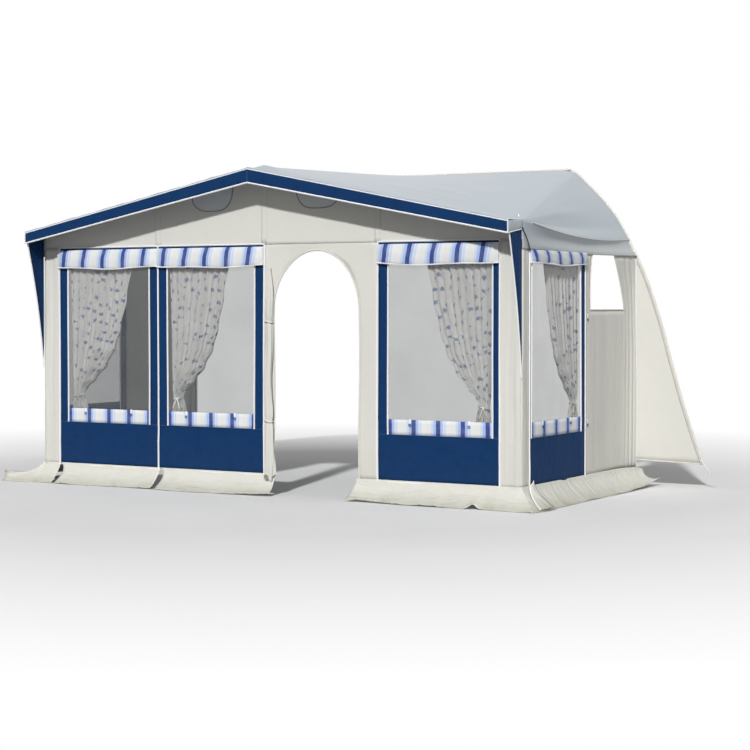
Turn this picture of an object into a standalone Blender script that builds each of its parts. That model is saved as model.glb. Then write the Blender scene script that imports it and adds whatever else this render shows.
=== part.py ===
# Caravan awning with a gabled roof, a short front canopy, four front bays and
# two side walls, hung by a bead along the rear edge of its roof and flaps.
# Metres, +Z up. The front wall faces -Y, the open rear faces +Y, and the origin
# is the bottom centre of the whole awning's box, at ground level.

import bpy
import bmesh
from math import cos, hypot, pi, sin, sqrt
from mathutils import Vector

# Driving sizes of the whole awning
BAY_WIDTH = 0.98
BAY_COUNT = 4
CORNER_STRIP = 0.168
WALL_DEPTH = 2.05
BASE_HEIGHT = 0.147
EAVES_HEIGHT = 2.00
SEAM_DROP = 0.13
VALANCE_DEPTH = 0.20
RAIL_HEIGHT = 2.50
RIDGE_DROP = 0.056
CLOTH = 0.003
GAP = 0.0003

# Canopy in front of the gable
CANOPY_REACH = 0.22
CANOPY_DROP_RIDGE = 0.029
CANOPY_DROP_EAVES = 0.015
FASCIA_DEPTH_RIDGE = 0.097
FASCIA_DEPTH_EAVES = 0.077
WING_TIP_HEIGHT = 0.91
WING_HOLLOW_SHARE = 0.12

# Rear edge: straight along the rail, then down in a curve to the flaps' feet
RAIL_CORNER_INSET = 0.56
FLAP_REACH = 0.562
FLAP_FOOT_HEIGHT = 0.19
FLAP_SEAM_HEIGHT = 0.205
FLAP_SEAM_LAP = 0.02
RAIL_CURVE_SHARES = (
    (0.0, 1.0), (0.058, 0.983), (0.143, 0.944), (0.242, 0.897), (0.355, 0.832),
    (0.425, 0.775), (0.495, 0.712), (0.564, 0.642), (0.634, 0.554), (0.701, 0.455),
    (0.770, 0.336), (0.847, 0.212), (0.926, 0.096), (1.0, 0.0),
)
CREASE_REAR_DROP = 0.07
BEAD_RADIUS = 0.004

# Window bays
STILE_WIDTH = 0.086
END_STILE_WIDTH = 0.055
SILL_HEIGHT = 0.597
FILM_TOP_DROP = 0.07
FILM_THICKNESS = 0.001
BLIND_TOP_DROP = 0.018
BLIND_HEIGHT = 0.14
BLIND_BULGE = 0.045
SIDE_BLIND_HEIGHT = 0.088
SIDE_BLIND_BULGE = 0.03

# Doorway in the third bay
DOOR_POST_LEFT = 0.092
DOOR_POST_RIGHT = 0.153
DOOR_TOP_DROP = 0.052
ARCH_RISE = 0.44
ROLL_WIDTH = 0.098
ROLL_DEPTH = 0.05
ROLL_CLEARANCE = 0.013
ROLL_LENGTH = 1.36
ROLL_SHARES = ((0.0, 1.0, 0.85), (0.14, 0.8, 0.9), (0.2, 0.62, 0.8), (0.3, 0.8, 1.0),
               (0.72, 0.78, 0.95), (0.78, 0.62, 0.8), (0.86, 0.74, 0.9), (1.0, 0.35, 0.45))

# Side walls
SIDE_STRIP = 0.12
SIDE_WINDOW = 0.95
SIDE_STILE_FRONT = 0.03
SIDE_POST = 0.15
HALF_DOOR_WIDTH = 0.58
HALF_DOOR_HEIGHT = 1.38
ZIP_SLIDER_HEIGHT = 1.26
ZIP_SLIDER_LENGTH = 0.034
ZIP_SLIDER_WIDTH = 0.014
ZIP_SLIDER_DEPTH = 0.008

# Curtains, gathered to one side; shares run across and down the window
CURTAIN_TOP_DROP = 0.10
CURTAIN_SILL_LAP = 0.097
CURTAIN_DEPTH = 0.04
CURTAIN_SHARES = (
    (0.0, 0.0), (0.72, 0.0), (0.66, 0.35), (0.50, 0.58), (0.20, 0.76), (0.13, 0.80),
    (0.13, 0.84), (0.24, 1.0), (0.02, 1.0), (0.03, 0.80), (0.0, 0.60),
)

# Mud skirts, kicked outwards on the ground
SKIRT_KICK = 0.12
SKIRT_CORNER_KICK = 0.16
SKIRT_DOOR_LAP = 0.03

# Tube frame
FRAME_TUBE_RADIUS = 0.014
FRAME_TUBE_WALL = 0.0012
SLIDE_FIT = 0.0005
COLLAR_WALL = 0.006
COLLAR_HEIGHT = 0.06
COLLAR_FLOOR = 0.80
EXTENSION_LAP = 0.45
FOOT_RADIUS = 0.045
FOOT_THICKNESS = 0.005
KNOB_RADIUS = 0.021
KNOB_LOBE_SHARE = 0.22
KNOB_LOBES = 3
KNOB_DEPTH = 0.018
BRACKET_HALF_WIDTH = 0.032
BRACKET_HALF_DEPTH = 0.019
BRACKET_HEIGHT = 0.052
POLE_RADIUS = 0.0125
POLE_OUTER_SHARE = 0.6
POLE_LAP = 0.30
POLE_EDGE_INSET = 0.018
POLE_EDGE_DROP = 0.014
HOOP_RADIUS = 0.008
HOOP_ARM_RADIUS = 0.0062
HOOP_SETBACK = 0.02
UPRIGHT_TOP_DROP = 0.04
PAD_WIDTH = 0.09
PAD_HEIGHT = 0.16
PAD_LEVEL = 1.30
PAD_DEPTH = 0.03

# How many flat faces stand for a round or curved one
TUBE_SIDES = 16
ROD_SIDES = 8
ROLL_SIDES = 10
ARCH_SEGMENTS = 16
BLIND_SEGMENTS = 6
KNOB_POINTS = 24
ROOF_SEGMENTS = 6
CORNER_SEGMENTS = 4
WING_SEGMENTS = 4
SKIRT_SEGMENTS = 4

# Derived places
WIDTH = BAY_COUNT * BAY_WIDTH + 2 * CORNER_STRIP
HALF = WIDTH / 2
RIDGE_HEIGHT = RAIL_HEIGHT - RIDGE_DROP
SEAM_HEIGHT = EAVES_HEIGHT - SEAM_DROP
VALANCE_HEIGHT = EAVES_HEIGHT - VALANCE_DEPTH
RAIL_STRAIGHT = HALF - RAIL_CORNER_INSET
FLAP_FOOT_REACH = HALF + FLAP_REACH
REAR_LAYERS = GAP + CLOTH
OVERALL_DEPTH = (CLOTH + GAP + CANOPY_REACH + WALL_DEPTH + REAR_LAYERS
                 + GAP + 2 * BEAD_RADIUS)
FRONT = -OVERALL_DEPTH / 2 + CLOTH + GAP + CANOPY_REACH
REAR = FRONT + WALL_DEPTH
ROOF_REAR = REAR + REAR_LAYERS
CANOPY_FRONT = FRONT - CANOPY_REACH
LEG_INSET = CLOTH + GAP + FOOT_RADIUS + GAP
LEG_LINE = FRONT + LEG_INSET
CORNER_LEG_X = HALF - LEG_INSET
BORE_RADIUS = FRAME_TUBE_RADIUS - FRAME_TUBE_WALL
EXTENSION_RADIUS = BORE_RADIUS - SLIDE_FIT
COLLAR_RADIUS = FRAME_TUBE_RADIUS + COLLAR_WALL

for old in list(bpy.data.objects):
    bpy.data.objects.remove(old, do_unlink=True)


def make_material(name, colour, roughness, metallic=0.0, alpha=1.0):
    material = bpy.data.materials.new(name)
    material.use_nodes = True
    shader = material.node_tree.nodes["Principled BSDF"]
    shader.inputs["Base Color"].default_value = (*colour, 1.0)
    shader.inputs["Roughness"].default_value = roughness
    shader.inputs["Metallic"].default_value = metallic
    shader.inputs["Alpha"].default_value = alpha
    return material


CANVAS = make_material("beige_canvas", (0.72, 0.69, 0.62), 0.8)
ROOF_CLOTH = make_material("grey_roof_cloth", (0.60, 0.62, 0.62), 0.4)
NAVY = make_material("navy_canvas", (0.012, 0.045, 0.15), 0.7)
FILM = make_material("clear_film", (0.45, 0.48, 0.50), 0.1, alpha=0.4)
BLIND_CLOTH = make_material("striped_cloth", (0.55, 0.62, 0.85), 0.75)
CURTAIN_CLOTH = make_material("curtain_cloth", (0.80, 0.79, 0.75), 0.9)
SKIRT_CLOTH = make_material("skirt_cloth", (0.66, 0.64, 0.57), 0.55)
WHITE_PIPING = make_material("white_piping", (0.85, 0.85, 0.85), 0.5)
STEEL = make_material("galvanised_steel", (0.55, 0.56, 0.58), 0.35, metallic=1.0)
BLACK_PLASTIC = make_material("black_plastic", (0.03, 0.03, 0.035), 0.45)


def finish(bm, name, material, smooth=False):
    """Turn a closed bmesh into a named object with its faces pointing out."""
    bmesh.ops.remove_doubles(bm, verts=bm.verts[:], dist=GAP / 10)
    bmesh.ops.recalc_face_normals(bm, faces=bm.faces[:])
    if bm.calc_volume(signed=True) < 0:
        bmesh.ops.reverse_faces(bm, faces=bm.faces[:])
    mesh = bpy.data.meshes.new(name)
    bm.to_mesh(mesh)
    bm.free()
    if smooth:
        mesh.shade_smooth()
        mesh.set_sharp_from_angle(angle=pi / 5)
    mesh.materials.append(material)
    obj = bpy.data.objects.new(name, mesh)
    bpy.context.scene.collection.objects.link(obj)
    return obj


def set_origin(obj, point):
    """Move an object's origin onto its joint axis and leave its shape in place."""
    obj.data.transform(obj.matrix_world.inverted())
    for vertex in obj.data.vertices:
        vertex.co -= point
    obj.location = point


def place(axis, depth, u, v):
    """A point at the given depth along Y (front plane) or X (side plane)."""
    return Vector((u, depth, v)) if axis == "Y" else Vector((depth, u, v))


def prism(name, outline, axis, near, far, material):
    """Extrude a flat outline of (across, height) points between two depths."""
    bm = bmesh.new()
    front = [bm.verts.new(place(axis, near, u, v)) for u, v in outline]
    back = [bm.verts.new(place(axis, far, u, v)) for u, v in outline]
    bm.faces.new(front)
    bm.faces.new(back[::-1])
    count = len(outline)
    for i in range(count):
        j = (i + 1) % count
        bm.faces.new((front[j], front[i], back[i], back[j]))
    return finish(bm, name, material)


def ring_prism(name, outer, inner, axis, near, far, material):
    """A flat rectangular ring; outer and inner are (left, right, low, high)."""
    bm = bmesh.new()
    loops = []
    for depth in (near, far):
        for left, right, low, high in (outer, inner):
            corners = ((left, low), (right, low), (right, high), (left, high))
            loops.append([bm.verts.new(place(axis, depth, u, v)) for u, v in corners])
    near_outer, near_inner, far_outer, far_inner = loops
    for i in range(4):
        j = (i + 1) % 4
        bm.faces.new((near_outer[i], near_outer[j], near_inner[j], near_inner[i]))
        bm.faces.new((far_outer[j], far_outer[i], far_inner[i], far_inner[j]))
        bm.faces.new((near_outer[j], near_outer[i], far_outer[i], far_outer[j]))
        bm.faces.new((near_inner[i], near_inner[j], far_inner[j], far_inner[i]))
    return finish(bm, name, material)


def shell(name, rows, offsets, material, smooth=False):
    """A closed sheet: rows of outer points, and each row's offset to the inside."""
    bm = bmesh.new()
    outer = [[bm.verts.new(p) for p in row] for row in rows]
    inner = [[bm.verts.new(p + offset) for p in row] for row, offset in zip(rows, offsets)]
    last_row, last_column = len(rows) - 1, len(rows[0]) - 1
    for i in range(last_row):
        for j in range(last_column):
            bm.faces.new((outer[i][j], outer[i][j + 1], outer[i + 1][j + 1], outer[i + 1][j]))
            bm.faces.new((inner[i][j], inner[i + 1][j], inner[i + 1][j + 1], inner[i][j + 1]))
    for j in range(last_column):
        for i in (0, last_row):
            bm.faces.new((outer[i][j], outer[i][j + 1], inner[i][j + 1], inner[i][j]))
    for i in range(last_row):
        for j in (0, last_column):
            bm.faces.new((outer[i][j], outer[i + 1][j], inner[i + 1][j], inner[i][j]))
    return finish(bm, name, material, smooth)


def cross_section(start, direction, radius, cut_point, cut_normal, sides):
    """Points where a round tube's length lines meet the plane that cuts it."""
    side = direction.cross(Vector((0, 0, 1)))
    side = side.normalized() if side.length > GAP else Vector((1, 0, 0))
    up = side.cross(direction).normalized()
    points = []
    for k in range(sides):
        angle = 2 * pi * (k + 0.5) / sides
        line = start + side * (radius * cos(angle)) + up * (radius * sin(angle))
        travel = (cut_point - line).dot(cut_normal) / direction.dot(cut_normal)
        points.append(line + direction * travel)
    return points


def tube_mesh(bm, start, end, outer, inner, cut_normal, sides):
    """A straight tube, or a rod when inner is zero, cut by parallel planes."""
    direction = (end - start).normalized()
    normal = cut_normal or direction
    rings = []
    for radius in (outer, inner) if inner else (outer,):
        for cut_point in (start, end):
            ring = cross_section(start, direction, radius, cut_point, normal, sides)
            rings.append([bm.verts.new(p) for p in ring])
    if not inner:
        bm.faces.new(rings[0])
        bm.faces.new(rings[1][::-1])
    for k in range(sides):
        m = (k + 1) % sides
        bm.faces.new((rings[0][k], rings[0][m], rings[1][m], rings[1][k]))
        if inner:
            bm.faces.new((rings[2][m], rings[2][k], rings[3][k], rings[3][m]))
            bm.faces.new((rings[0][m], rings[0][k], rings[2][k], rings[2][m]))
            bm.faces.new((rings[1][k], rings[1][m], rings[3][m], rings[3][k]))


def tube(name, start, end, outer, inner, material, cut_normal=None, sides=TUBE_SIDES):
    bm = bmesh.new()
    tube_mesh(bm, start, end, outer, inner, cut_normal, sides)
    return finish(bm, name, material, smooth=True)


def lathe(name, centre, profile, material, sides=TUBE_SIDES):
    """Turn a closed (radius, height) profile about the vertical line at centre."""
    bm = bmesh.new()
    rings = []
    for radius, height in profile:
        if radius == 0:
            rings.append([bm.verts.new((centre.x, centre.y, height))] * sides)
            continue
        ring = []
        for k in range(sides):
            angle = 2 * pi * k / sides
            ring.append(bm.verts.new((centre.x + radius * cos(angle),
                                      centre.y + radius * sin(angle), height)))
        rings.append(ring)
    for i, ring in enumerate(rings):
        after = rings[(i + 1) % len(rings)]
        for k in range(sides):
            m = (k + 1) % sides
            corners = []
            for vertex in (ring[k], ring[m], after[m], after[k]):
                if vertex not in corners:
                    corners.append(vertex)
            if len(corners) > 2:
                bm.faces.new(corners)
    return finish(bm, name, material, smooth=True)


def union(base, tools):
    """Join the tool shapes to the base object with exact Boolean unions."""
    for tool in tools:
        tool.hide_render = True
        tool.display_type = "WIRE"
        modifier = base.modifiers.new("join_" + tool.name, "BOOLEAN")
        modifier.operation = "UNION"
        modifier.solver = "EXACT"
        modifier.object = tool


def rail_point(x_share, z_share):
    """A point of the rear edge's curve, on the right-hand side."""
    x = RAIL_STRAIGHT + x_share * (FLAP_FOOT_REACH - RAIL_STRAIGHT)
    z = FLAP_FOOT_HEIGHT + z_share * (RAIL_HEIGHT - FLAP_FOOT_HEIGHT)
    return x, z


def rail_reach(height):
    """How far out the rear edge's curve is at a height."""
    points = [rail_point(*shares) for shares in RAIL_CURVE_SHARES]
    for (xa, za), (xb, zb) in zip(points, points[1:]):
        if zb <= height <= za:
            return xa + (xb - xa) * (za - height) / (za - zb)
    return points[-1][0]


def rail_curve(high, low):
    """The rear edge's points between two heights, both ends included."""
    points = [rail_point(*shares) for shares in RAIL_CURVE_SHARES]
    inside = [p for p in points if low + CLOTH < p[1] < high - CLOTH]
    return [(rail_reach(high), high), *inside, (rail_reach(low), low)]


def roof_edge(share):
    """Outer edge of a roof half, from the eaves corner to the rail's straight end."""
    x = HALF + (RAIL_STRAIGHT - HALF) * share
    z = EAVES_HEIGHT + (RAIL_HEIGHT - EAVES_HEIGHT) * share
    return x, z


def ridge_height(share):
    return RIDGE_HEIGHT + (RAIL_HEIGHT - RIDGE_HEIGHT) * share


def roof_share(y):
    return (y - FRONT) / (ROOF_REAR - FRONT)


def roof_height(x, y):
    """Top of the roof cloth above the room, at a place on either side."""
    share = roof_share(y)
    edge_x, edge_z = roof_edge(share)
    return ridge_height(share) + (edge_z - ridge_height(share)) * abs(x) / edge_x


def canopy_height(x, y):
    """Top of the canopy cloth in front of the gable."""
    share = (FRONT - y) / CANOPY_REACH
    ridge = RIDGE_HEIGHT - CANOPY_DROP_RIDGE * share
    eaves = EAVES_HEIGHT - CANOPY_DROP_EAVES * share
    return ridge + (eaves - ridge) * abs(x) / HALF


def bay_edges(index):
    """Left and right edge of a front bay, with the joint between bays taken off."""
    left = -HALF + CORNER_STRIP + index * BAY_WIDTH
    return left + GAP / 2, left + BAY_WIDTH - GAP / 2


def build_roof(side, name):
    """One half of the roof with its half of the canopy, from the ridge seam outwards."""
    depths = [CANOPY_FRONT]
    for row in range(ROOF_SEGMENTS + 1):
        depths.append(FRONT + (ROOF_REAR - FRONT) * row / ROOF_SEGMENTS)
    grid = []
    for y in depths:
        on_canopy = y < FRONT
        edge = HALF if on_canopy else roof_edge(roof_share(y))[0]
        points = []
        for column in range(ROOF_SEGMENTS + 1):
            x = GAP / 2 + (edge - GAP / 2) * column / ROOF_SEGMENTS
            z = canopy_height(x, y) if on_canopy else roof_height(x, y)
            points.append(Vector((side * x, y, z)))
        grid.append(points)
    down = Vector((0, 0, -CLOTH))
    shell(name, grid, [down] * len(grid), ROOF_CLOTH, smooth=True)


def build_roof_corner(side, name):
    """Curved corner of the roof and the valance below it, one sewn sheet."""
    outer_x = HALF + GAP + CLOTH
    crease = EAVES_HEIGHT - CREASE_REAR_DROP
    rear_points = rail_curve(RAIL_HEIGHT, crease) + [(rail_reach(VALANCE_HEIGHT), VALANCE_HEIGHT)]
    grid, offsets = [], []
    last = len(rear_points) - 1
    for i, (x, z) in enumerate(rear_points):
        if i == 0:
            start = Vector((side * (HALF + GAP), FRONT, EAVES_HEIGHT))
            x += GAP
        else:
            low = VALANCE_HEIGHT if i == last else EAVES_HEIGHT
            start = Vector((side * outer_x, FRONT, low))
            x = max(x, outer_x) if i == last else x
        end = Vector((side * x, ROOF_REAR, z))
        grid.append([start.lerp(end, step / CORNER_SEGMENTS)
                     for step in range(CORNER_SEGMENTS + 1)])
        lean = Vector((-side * CLOTH, 0, -CLOTH if i < last else 0))
        offsets.append(Vector((0, 0, -CLOTH)) if i == 0 else lean)
    shell(name, grid, offsets, ROOF_CLOTH, smooth=True)


def build_fascia():
    """Navy band across the canopy's front edge, with its peak at the ridge."""
    near = CANOPY_FRONT - GAP - CLOTH
    ridge = canopy_height(0, CANOPY_FRONT)
    eaves = canopy_height(HALF, CANOPY_FRONT)
    outline = [(-HALF, eaves - FASCIA_DEPTH_EAVES), (0, ridge - FASCIA_DEPTH_RIDGE),
               (HALF, eaves - FASCIA_DEPTH_EAVES), (HALF, eaves), (0, ridge), (-HALF, eaves)]
    prism("canopy_fascia", outline, "Y", near, near + CLOTH, NAVY)


def build_wing(side, name):
    """Navy triangle that closes the canopy's end in the side wall's plane."""
    rear = FRONT - GAP
    under = CLOTH + GAP
    top_front = canopy_height(HALF, CANOPY_FRONT) - under
    top_rear = canopy_height(HALF, rear) - under
    outline = [(rear, WING_TIP_HEIGHT), (rear, top_rear), (CANOPY_FRONT, top_front)]
    for step in range(1, WING_SEGMENTS):
        share = step / WING_SEGMENTS
        hollow = WING_HOLLOW_SHARE * CANOPY_REACH * sin(pi * share)
        y = CANOPY_FRONT + (rear - CANOPY_FRONT) * share + hollow
        outline.append((y, top_front + (WING_TIP_HEIGHT - top_front) * share))
    prism(name, outline, "X", side * (HALF - CLOTH), side * HALF, NAVY)


def build_gable():
    """Beige gable wall between the bays' top seam and the roof."""
    under = CLOTH + GAP
    outline = [(-HALF, VALANCE_HEIGHT), (-HALF + CORNER_STRIP, VALANCE_HEIGHT),
               (-HALF + CORNER_STRIP, SEAM_HEIGHT), (HALF - CORNER_STRIP, SEAM_HEIGHT),
               (HALF - CORNER_STRIP, VALANCE_HEIGHT), (HALF, VALANCE_HEIGHT),
               (HALF, EAVES_HEIGHT - under), (0, RIDGE_HEIGHT - under),
               (-HALF, EAVES_HEIGHT - under)]
    prism("gable_panel", outline, "Y", FRONT, FRONT + CLOTH, CANVAS)


def build_wall_corner(side, name):
    """Beige strip folded round a front corner of the walls."""
    top = VALANCE_HEIGHT - GAP
    bm = bmesh.new()
    plan = [(HALF, 0), (HALF - CORNER_STRIP + GAP / 2, 0), (HALF - CORNER_STRIP + GAP / 2, CLOTH),
            (HALF - CLOTH, CLOTH), (HALF - CLOTH, SIDE_STRIP), (HALF, SIDE_STRIP)]
    low = [bm.verts.new((side * x, FRONT + y, BASE_HEIGHT)) for x, y in plan]
    high = [bm.verts.new((side * x, FRONT + y, top)) for x, y in plan]
    bm.faces.new(low)
    bm.faces.new(high[::-1])
    for i in range(len(plan)):
        j = (i + 1) % len(plan)
        bm.faces.new((low[j], low[i], high[i], high[j]))
    finish(bm, name, CANVAS)


def half_round(low, high, bulge):
    """Profile (outwards, height) of a puffed roll lying flat against the wall."""
    middle, half_height = (low + high) / 2, (high - low) / 2
    points = []
    for k in range(BLIND_SEGMENTS + 1):
        angle = pi * k / BLIND_SEGMENTS
        points.append((bulge * sin(angle), middle + half_height * cos(angle)))
    return points


def build_blind(name, axis, face, outward, left, right, profile):
    """Striped window cover, rolled up above its window outside the wall."""
    bm = bmesh.new()
    ends = []
    for u in (left, right):
        ends.append([bm.verts.new(place(axis, face + outward * depth, u, height))
                     for depth, height in profile])
    bm.faces.new(ends[0])
    bm.faces.new(ends[1][::-1])
    count = len(profile)
    for i in range(count):
        j = (i + 1) % count
        bm.faces.new((ends[0][j], ends[0][i], ends[1][i], ends[1][j]))
    finish(bm, name, BLIND_CLOTH, smooth=True)


def curtain_outline(gathered, free, low, high):
    """Outline of a curtain tied back at its gathered edge."""
    outline = []
    for across, down in CURTAIN_SHARES:
        outline.append((gathered + (free - gathered) * across, high + (low - high) * down))
    return outline


def build_front_window(number, index, right_stile, gathered_left):
    left, right = bay_edges(index)
    top = SEAM_HEIGHT - GAP
    opening = (left + STILE_WIDTH, right - right_stile, SILL_HEIGHT, top - FILM_TOP_DROP)
    ring_prism(f"window_panel_{number}", (left, right, BASE_HEIGHT, top), opening,
               "Y", FRONT, FRONT + CLOTH, NAVY)
    film_left, film_right = opening[0] + GAP, opening[1] - GAP
    film_low, film_high = opening[2] + GAP, opening[3] - GAP
    outline = [(film_left, film_low), (film_right, film_low),
               (film_right, film_high), (film_left, film_high)]
    film_near = FRONT + (CLOTH - FILM_THICKNESS) / 2
    prism(f"window_film_{number}", outline, "Y", film_near, film_near + FILM_THICKNESS, FILM)
    blind_top = SEAM_HEIGHT - BLIND_TOP_DROP
    profile = half_round(blind_top - BLIND_HEIGHT, blind_top, BLIND_BULGE)
    build_blind(f"blind_{number}", "Y", FRONT - GAP, -1, left, right, profile)
    gathered, free = (film_left, film_right) if gathered_left else (film_right, film_left)
    behind = FRONT + CLOTH + GAP
    prism(f"curtain_{number}",
          curtain_outline(gathered, free, SILL_HEIGHT - CURTAIN_SILL_LAP, top - CURTAIN_TOP_DROP),
          "Y", behind, behind + CURTAIN_DEPTH, CURTAIN_CLOTH)


def build_door_panel():
    """Beige bay with the arched doorway."""
    left, right = bay_edges(2)
    top = SEAM_HEIGHT - GAP
    door_left, door_right = left + DOOR_POST_LEFT, right - DOOR_POST_RIGHT
    middle, reach = (door_left + door_right) / 2, (door_right - door_left) / 2
    spring = SEAM_HEIGHT - DOOR_TOP_DROP - ARCH_RISE
    outline = [(left, BASE_HEIGHT), (left, top), (right, top), (right, BASE_HEIGHT),
               (door_right, BASE_HEIGHT)]
    for k in range(ARCH_SEGMENTS + 1):
        angle = pi * k / ARCH_SEGMENTS
        outline.append((middle + reach * cos(angle), spring + ARCH_RISE * sin(angle)))
    outline.append((door_left, BASE_HEIGHT))
    prism("door_panel", outline, "Y", FRONT, FRONT + CLOTH, CANVAS)


def build_door_roll():
    """Door cloth rolled up and tied along the doorway's left post."""
    left = bay_edges(2)[0]
    bm = bmesh.new()
    rings = []
    for height_share, width_share, depth_share in ROLL_SHARES:
        z = BASE_HEIGHT + ROLL_CLEARANCE + ROLL_LENGTH * height_share
        half_width = ROLL_WIDTH * width_share / 2
        half_depth = ROLL_DEPTH * depth_share / 2
        middle = Vector((left + ROLL_WIDTH / 2, FRONT - GAP - half_depth, z))
        ring = []
        for k in range(ROLL_SIDES):
            angle = 2 * pi * k / ROLL_SIDES
            ring.append(bm.verts.new(middle + Vector((half_width * cos(angle),
                                                      half_depth * sin(angle), 0))))
        rings.append(ring)
    bm.faces.new(rings[0])
    bm.faces.new(rings[-1][::-1])
    for low, high in zip(rings, rings[1:]):
        for k in range(ROLL_SIDES):
            m = (k + 1) % ROLL_SIDES
            bm.faces.new((low[m], low[k], high[k], high[m]))
    finish(bm, "door_roll", CANVAS, smooth=True)


def build_side_wall(side, suffix, half_door_open):
    """Window panel, film, blind and rear panel of one side wall."""
    top = VALANCE_HEIGHT - GAP
    inner, outer = side * (HALF - CLOTH), side * HALF
    front, rear = FRONT + SIDE_STRIP + GAP, FRONT + SIDE_STRIP + SIDE_WINDOW
    opening = (front + SIDE_STILE_FRONT, rear - STILE_WIDTH, SILL_HEIGHT, top - FILM_TOP_DROP)
    ring_prism(f"side_window_panel_{suffix}", (front, rear, BASE_HEIGHT, top), opening,
               "X", inner, outer, NAVY)
    film = [(opening[0] + GAP, opening[2] + GAP), (opening[1] - GAP, opening[2] + GAP),
            (opening[1] - GAP, opening[3] - GAP), (opening[0] + GAP, opening[3] - GAP)]
    film_near = HALF - (CLOTH + FILM_THICKNESS) / 2
    prism(f"side_window_film_{suffix}", film, "X",
          side * film_near, side * (film_near + FILM_THICKNESS), FILM)
    profile = half_round(top - SIDE_BLIND_HEIGHT, top, SIDE_BLIND_BULGE)
    build_blind(f"side_blind_{suffix}", "X", side * (HALF + GAP), side, front, rear, profile)
    start = rear + GAP
    door_front = start + SIDE_POST
    door_rear = door_front + HALF_DOOR_WIDTH
    if half_door_open:
        outline = [(start, BASE_HEIGHT), (REAR, BASE_HEIGHT), (REAR, top), (door_rear, top),
                   (door_rear, HALF_DOOR_HEIGHT), (door_front, HALF_DOOR_HEIGHT),
                   (door_front, top), (start, top)]
        add_side_curtain(side, opening)
        add_zip_slider(side, start)
    else:
        outline = [(start, BASE_HEIGHT), (REAR, BASE_HEIGHT), (REAR, top), (start, top)]
    prism(f"side_rear_panel_{suffix}", outline, "X", inner, outer, CANVAS)


def add_side_curtain(side, opening):
    inside = HALF - CLOTH - GAP
    outline = curtain_outline(opening[1], opening[0], SILL_HEIGHT - CURTAIN_SILL_LAP, opening[3])
    prism("curtain_side", outline, "X", side * (inside - CURTAIN_DEPTH), side * inside,
          CURTAIN_CLOTH)


def add_zip_slider(side, zip_line):
    """Slider and pull of the zip between the side window and the half door."""
    half_width = ZIP_SLIDER_WIDTH / 2
    middle = zip_line + half_width + GAP
    low = ZIP_SLIDER_HEIGHT - ZIP_SLIDER_LENGTH / 2
    high = ZIP_SLIDER_HEIGHT + ZIP_SLIDER_LENGTH / 2
    shoulder = high - half_width
    outline = [(middle - half_width / 2, low), (middle + half_width / 2, low),
               (middle + half_width, shoulder), (middle + half_width / 2, high),
               (middle - half_width / 2, high), (middle - half_width, shoulder)]
    face = HALF + GAP
    slider = prism("zip_slider", outline, "X", side * face,
                   side * (face + ZIP_SLIDER_DEPTH), BLACK_PLASTIC)
    set_origin(slider, Vector((side * face, middle, ZIP_SLIDER_HEIGHT)))


def build_flap(side, name):
    """Flap in the rear plane that runs out from a side wall to the rail's curve."""
    inner = HALF - FLAP_SEAM_LAP
    edge = rail_curve(VALANCE_HEIGHT, FLAP_FOOT_HEIGHT)
    outline = [(side * x, z) for x, z in [(inner, FLAP_SEAM_HEIGHT), (inner, VALANCE_HEIGHT), *edge]]
    prism(name, outline, "Y", REAR + GAP, REAR + GAP + CLOTH, CANVAS)


def build_bead():
    """Round bead sewn into the rear edge, the part that slides into the rail."""
    points = [rail_point(*shares) for shares in RAIL_CURVE_SHARES]
    right = [(x - BEAD_RADIUS, z) for x, z in points[::-1]]
    right[-1] = (points[0][0] - BEAD_RADIUS, points[0][1] - BEAD_RADIUS)
    path = right + [(-x, z) for x, z in right[::-1]]
    y = ROOF_REAR + GAP + BEAD_RADIUS
    curve = bpy.data.curves.new("rail_bead", "CURVE")
    curve.dimensions = "3D"
    spline = curve.splines.new("POLY")
    spline.points.add(len(path) - 1)
    for point, (x, z) in zip(spline.points, path):
        point.co = (x, y, z, 1.0)
    curve.bevel_depth = BEAD_RADIUS
    curve.bevel_resolution = 2
    curve.use_fill_caps = True
    curve.materials.append(WHITE_PIPING)
    bead = bpy.data.objects.new("rail_bead", curve)
    bpy.context.scene.collection.objects.link(bead)


def build_front_skirt(name, corner_side, inner_x):
    """Mud skirt under the front wall, from a wall corner to the doorway."""
    top = BASE_HEIGHT - GAP
    outer_x = corner_side * HALF
    kicked_x = corner_side * (HALF + SKIRT_CORNER_KICK)
    grid = []
    for start, kick, z in ((outer_x, 0, top), (kicked_x, SKIRT_KICK, 0)):
        y = FRONT - kick
        row = [Vector((start, y, z)).lerp(Vector((inner_x, y, z)), step / SKIRT_SEGMENTS)
               for step in range(SKIRT_SEGMENTS + 1)]
        grid.append(row)
    mesh_rows = []
    for row in grid:
        inner = [p + Vector((0, CLOTH, 0)) for p in row]
        inner[0].x -= corner_side * CLOTH
        mesh_rows.append((row, inner))
    build_skirt_mesh(name, mesh_rows)


def build_side_skirt(name, side):
    """Mud skirt under a side wall, mitred to the front skirt at the corner."""
    top = BASE_HEIGHT - GAP
    mitre = 2 * GAP
    mesh_rows = []
    for x, front_kick, z in ((HALF, 0, top), (HALF + SKIRT_CORNER_KICK, SKIRT_KICK, 0)):
        first = Vector((side * x, FRONT - front_kick + mitre, z))
        last = Vector((side * x, REAR, z))
        outer = [first.lerp(last, step / SKIRT_SEGMENTS) for step in range(SKIRT_SEGMENTS + 1)]
        inner = [p - Vector((side * CLOTH, 0, 0)) for p in outer]
        inner[0].y += CLOTH
        mesh_rows.append((outer, inner))
    build_skirt_mesh(name, mesh_rows)


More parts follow.
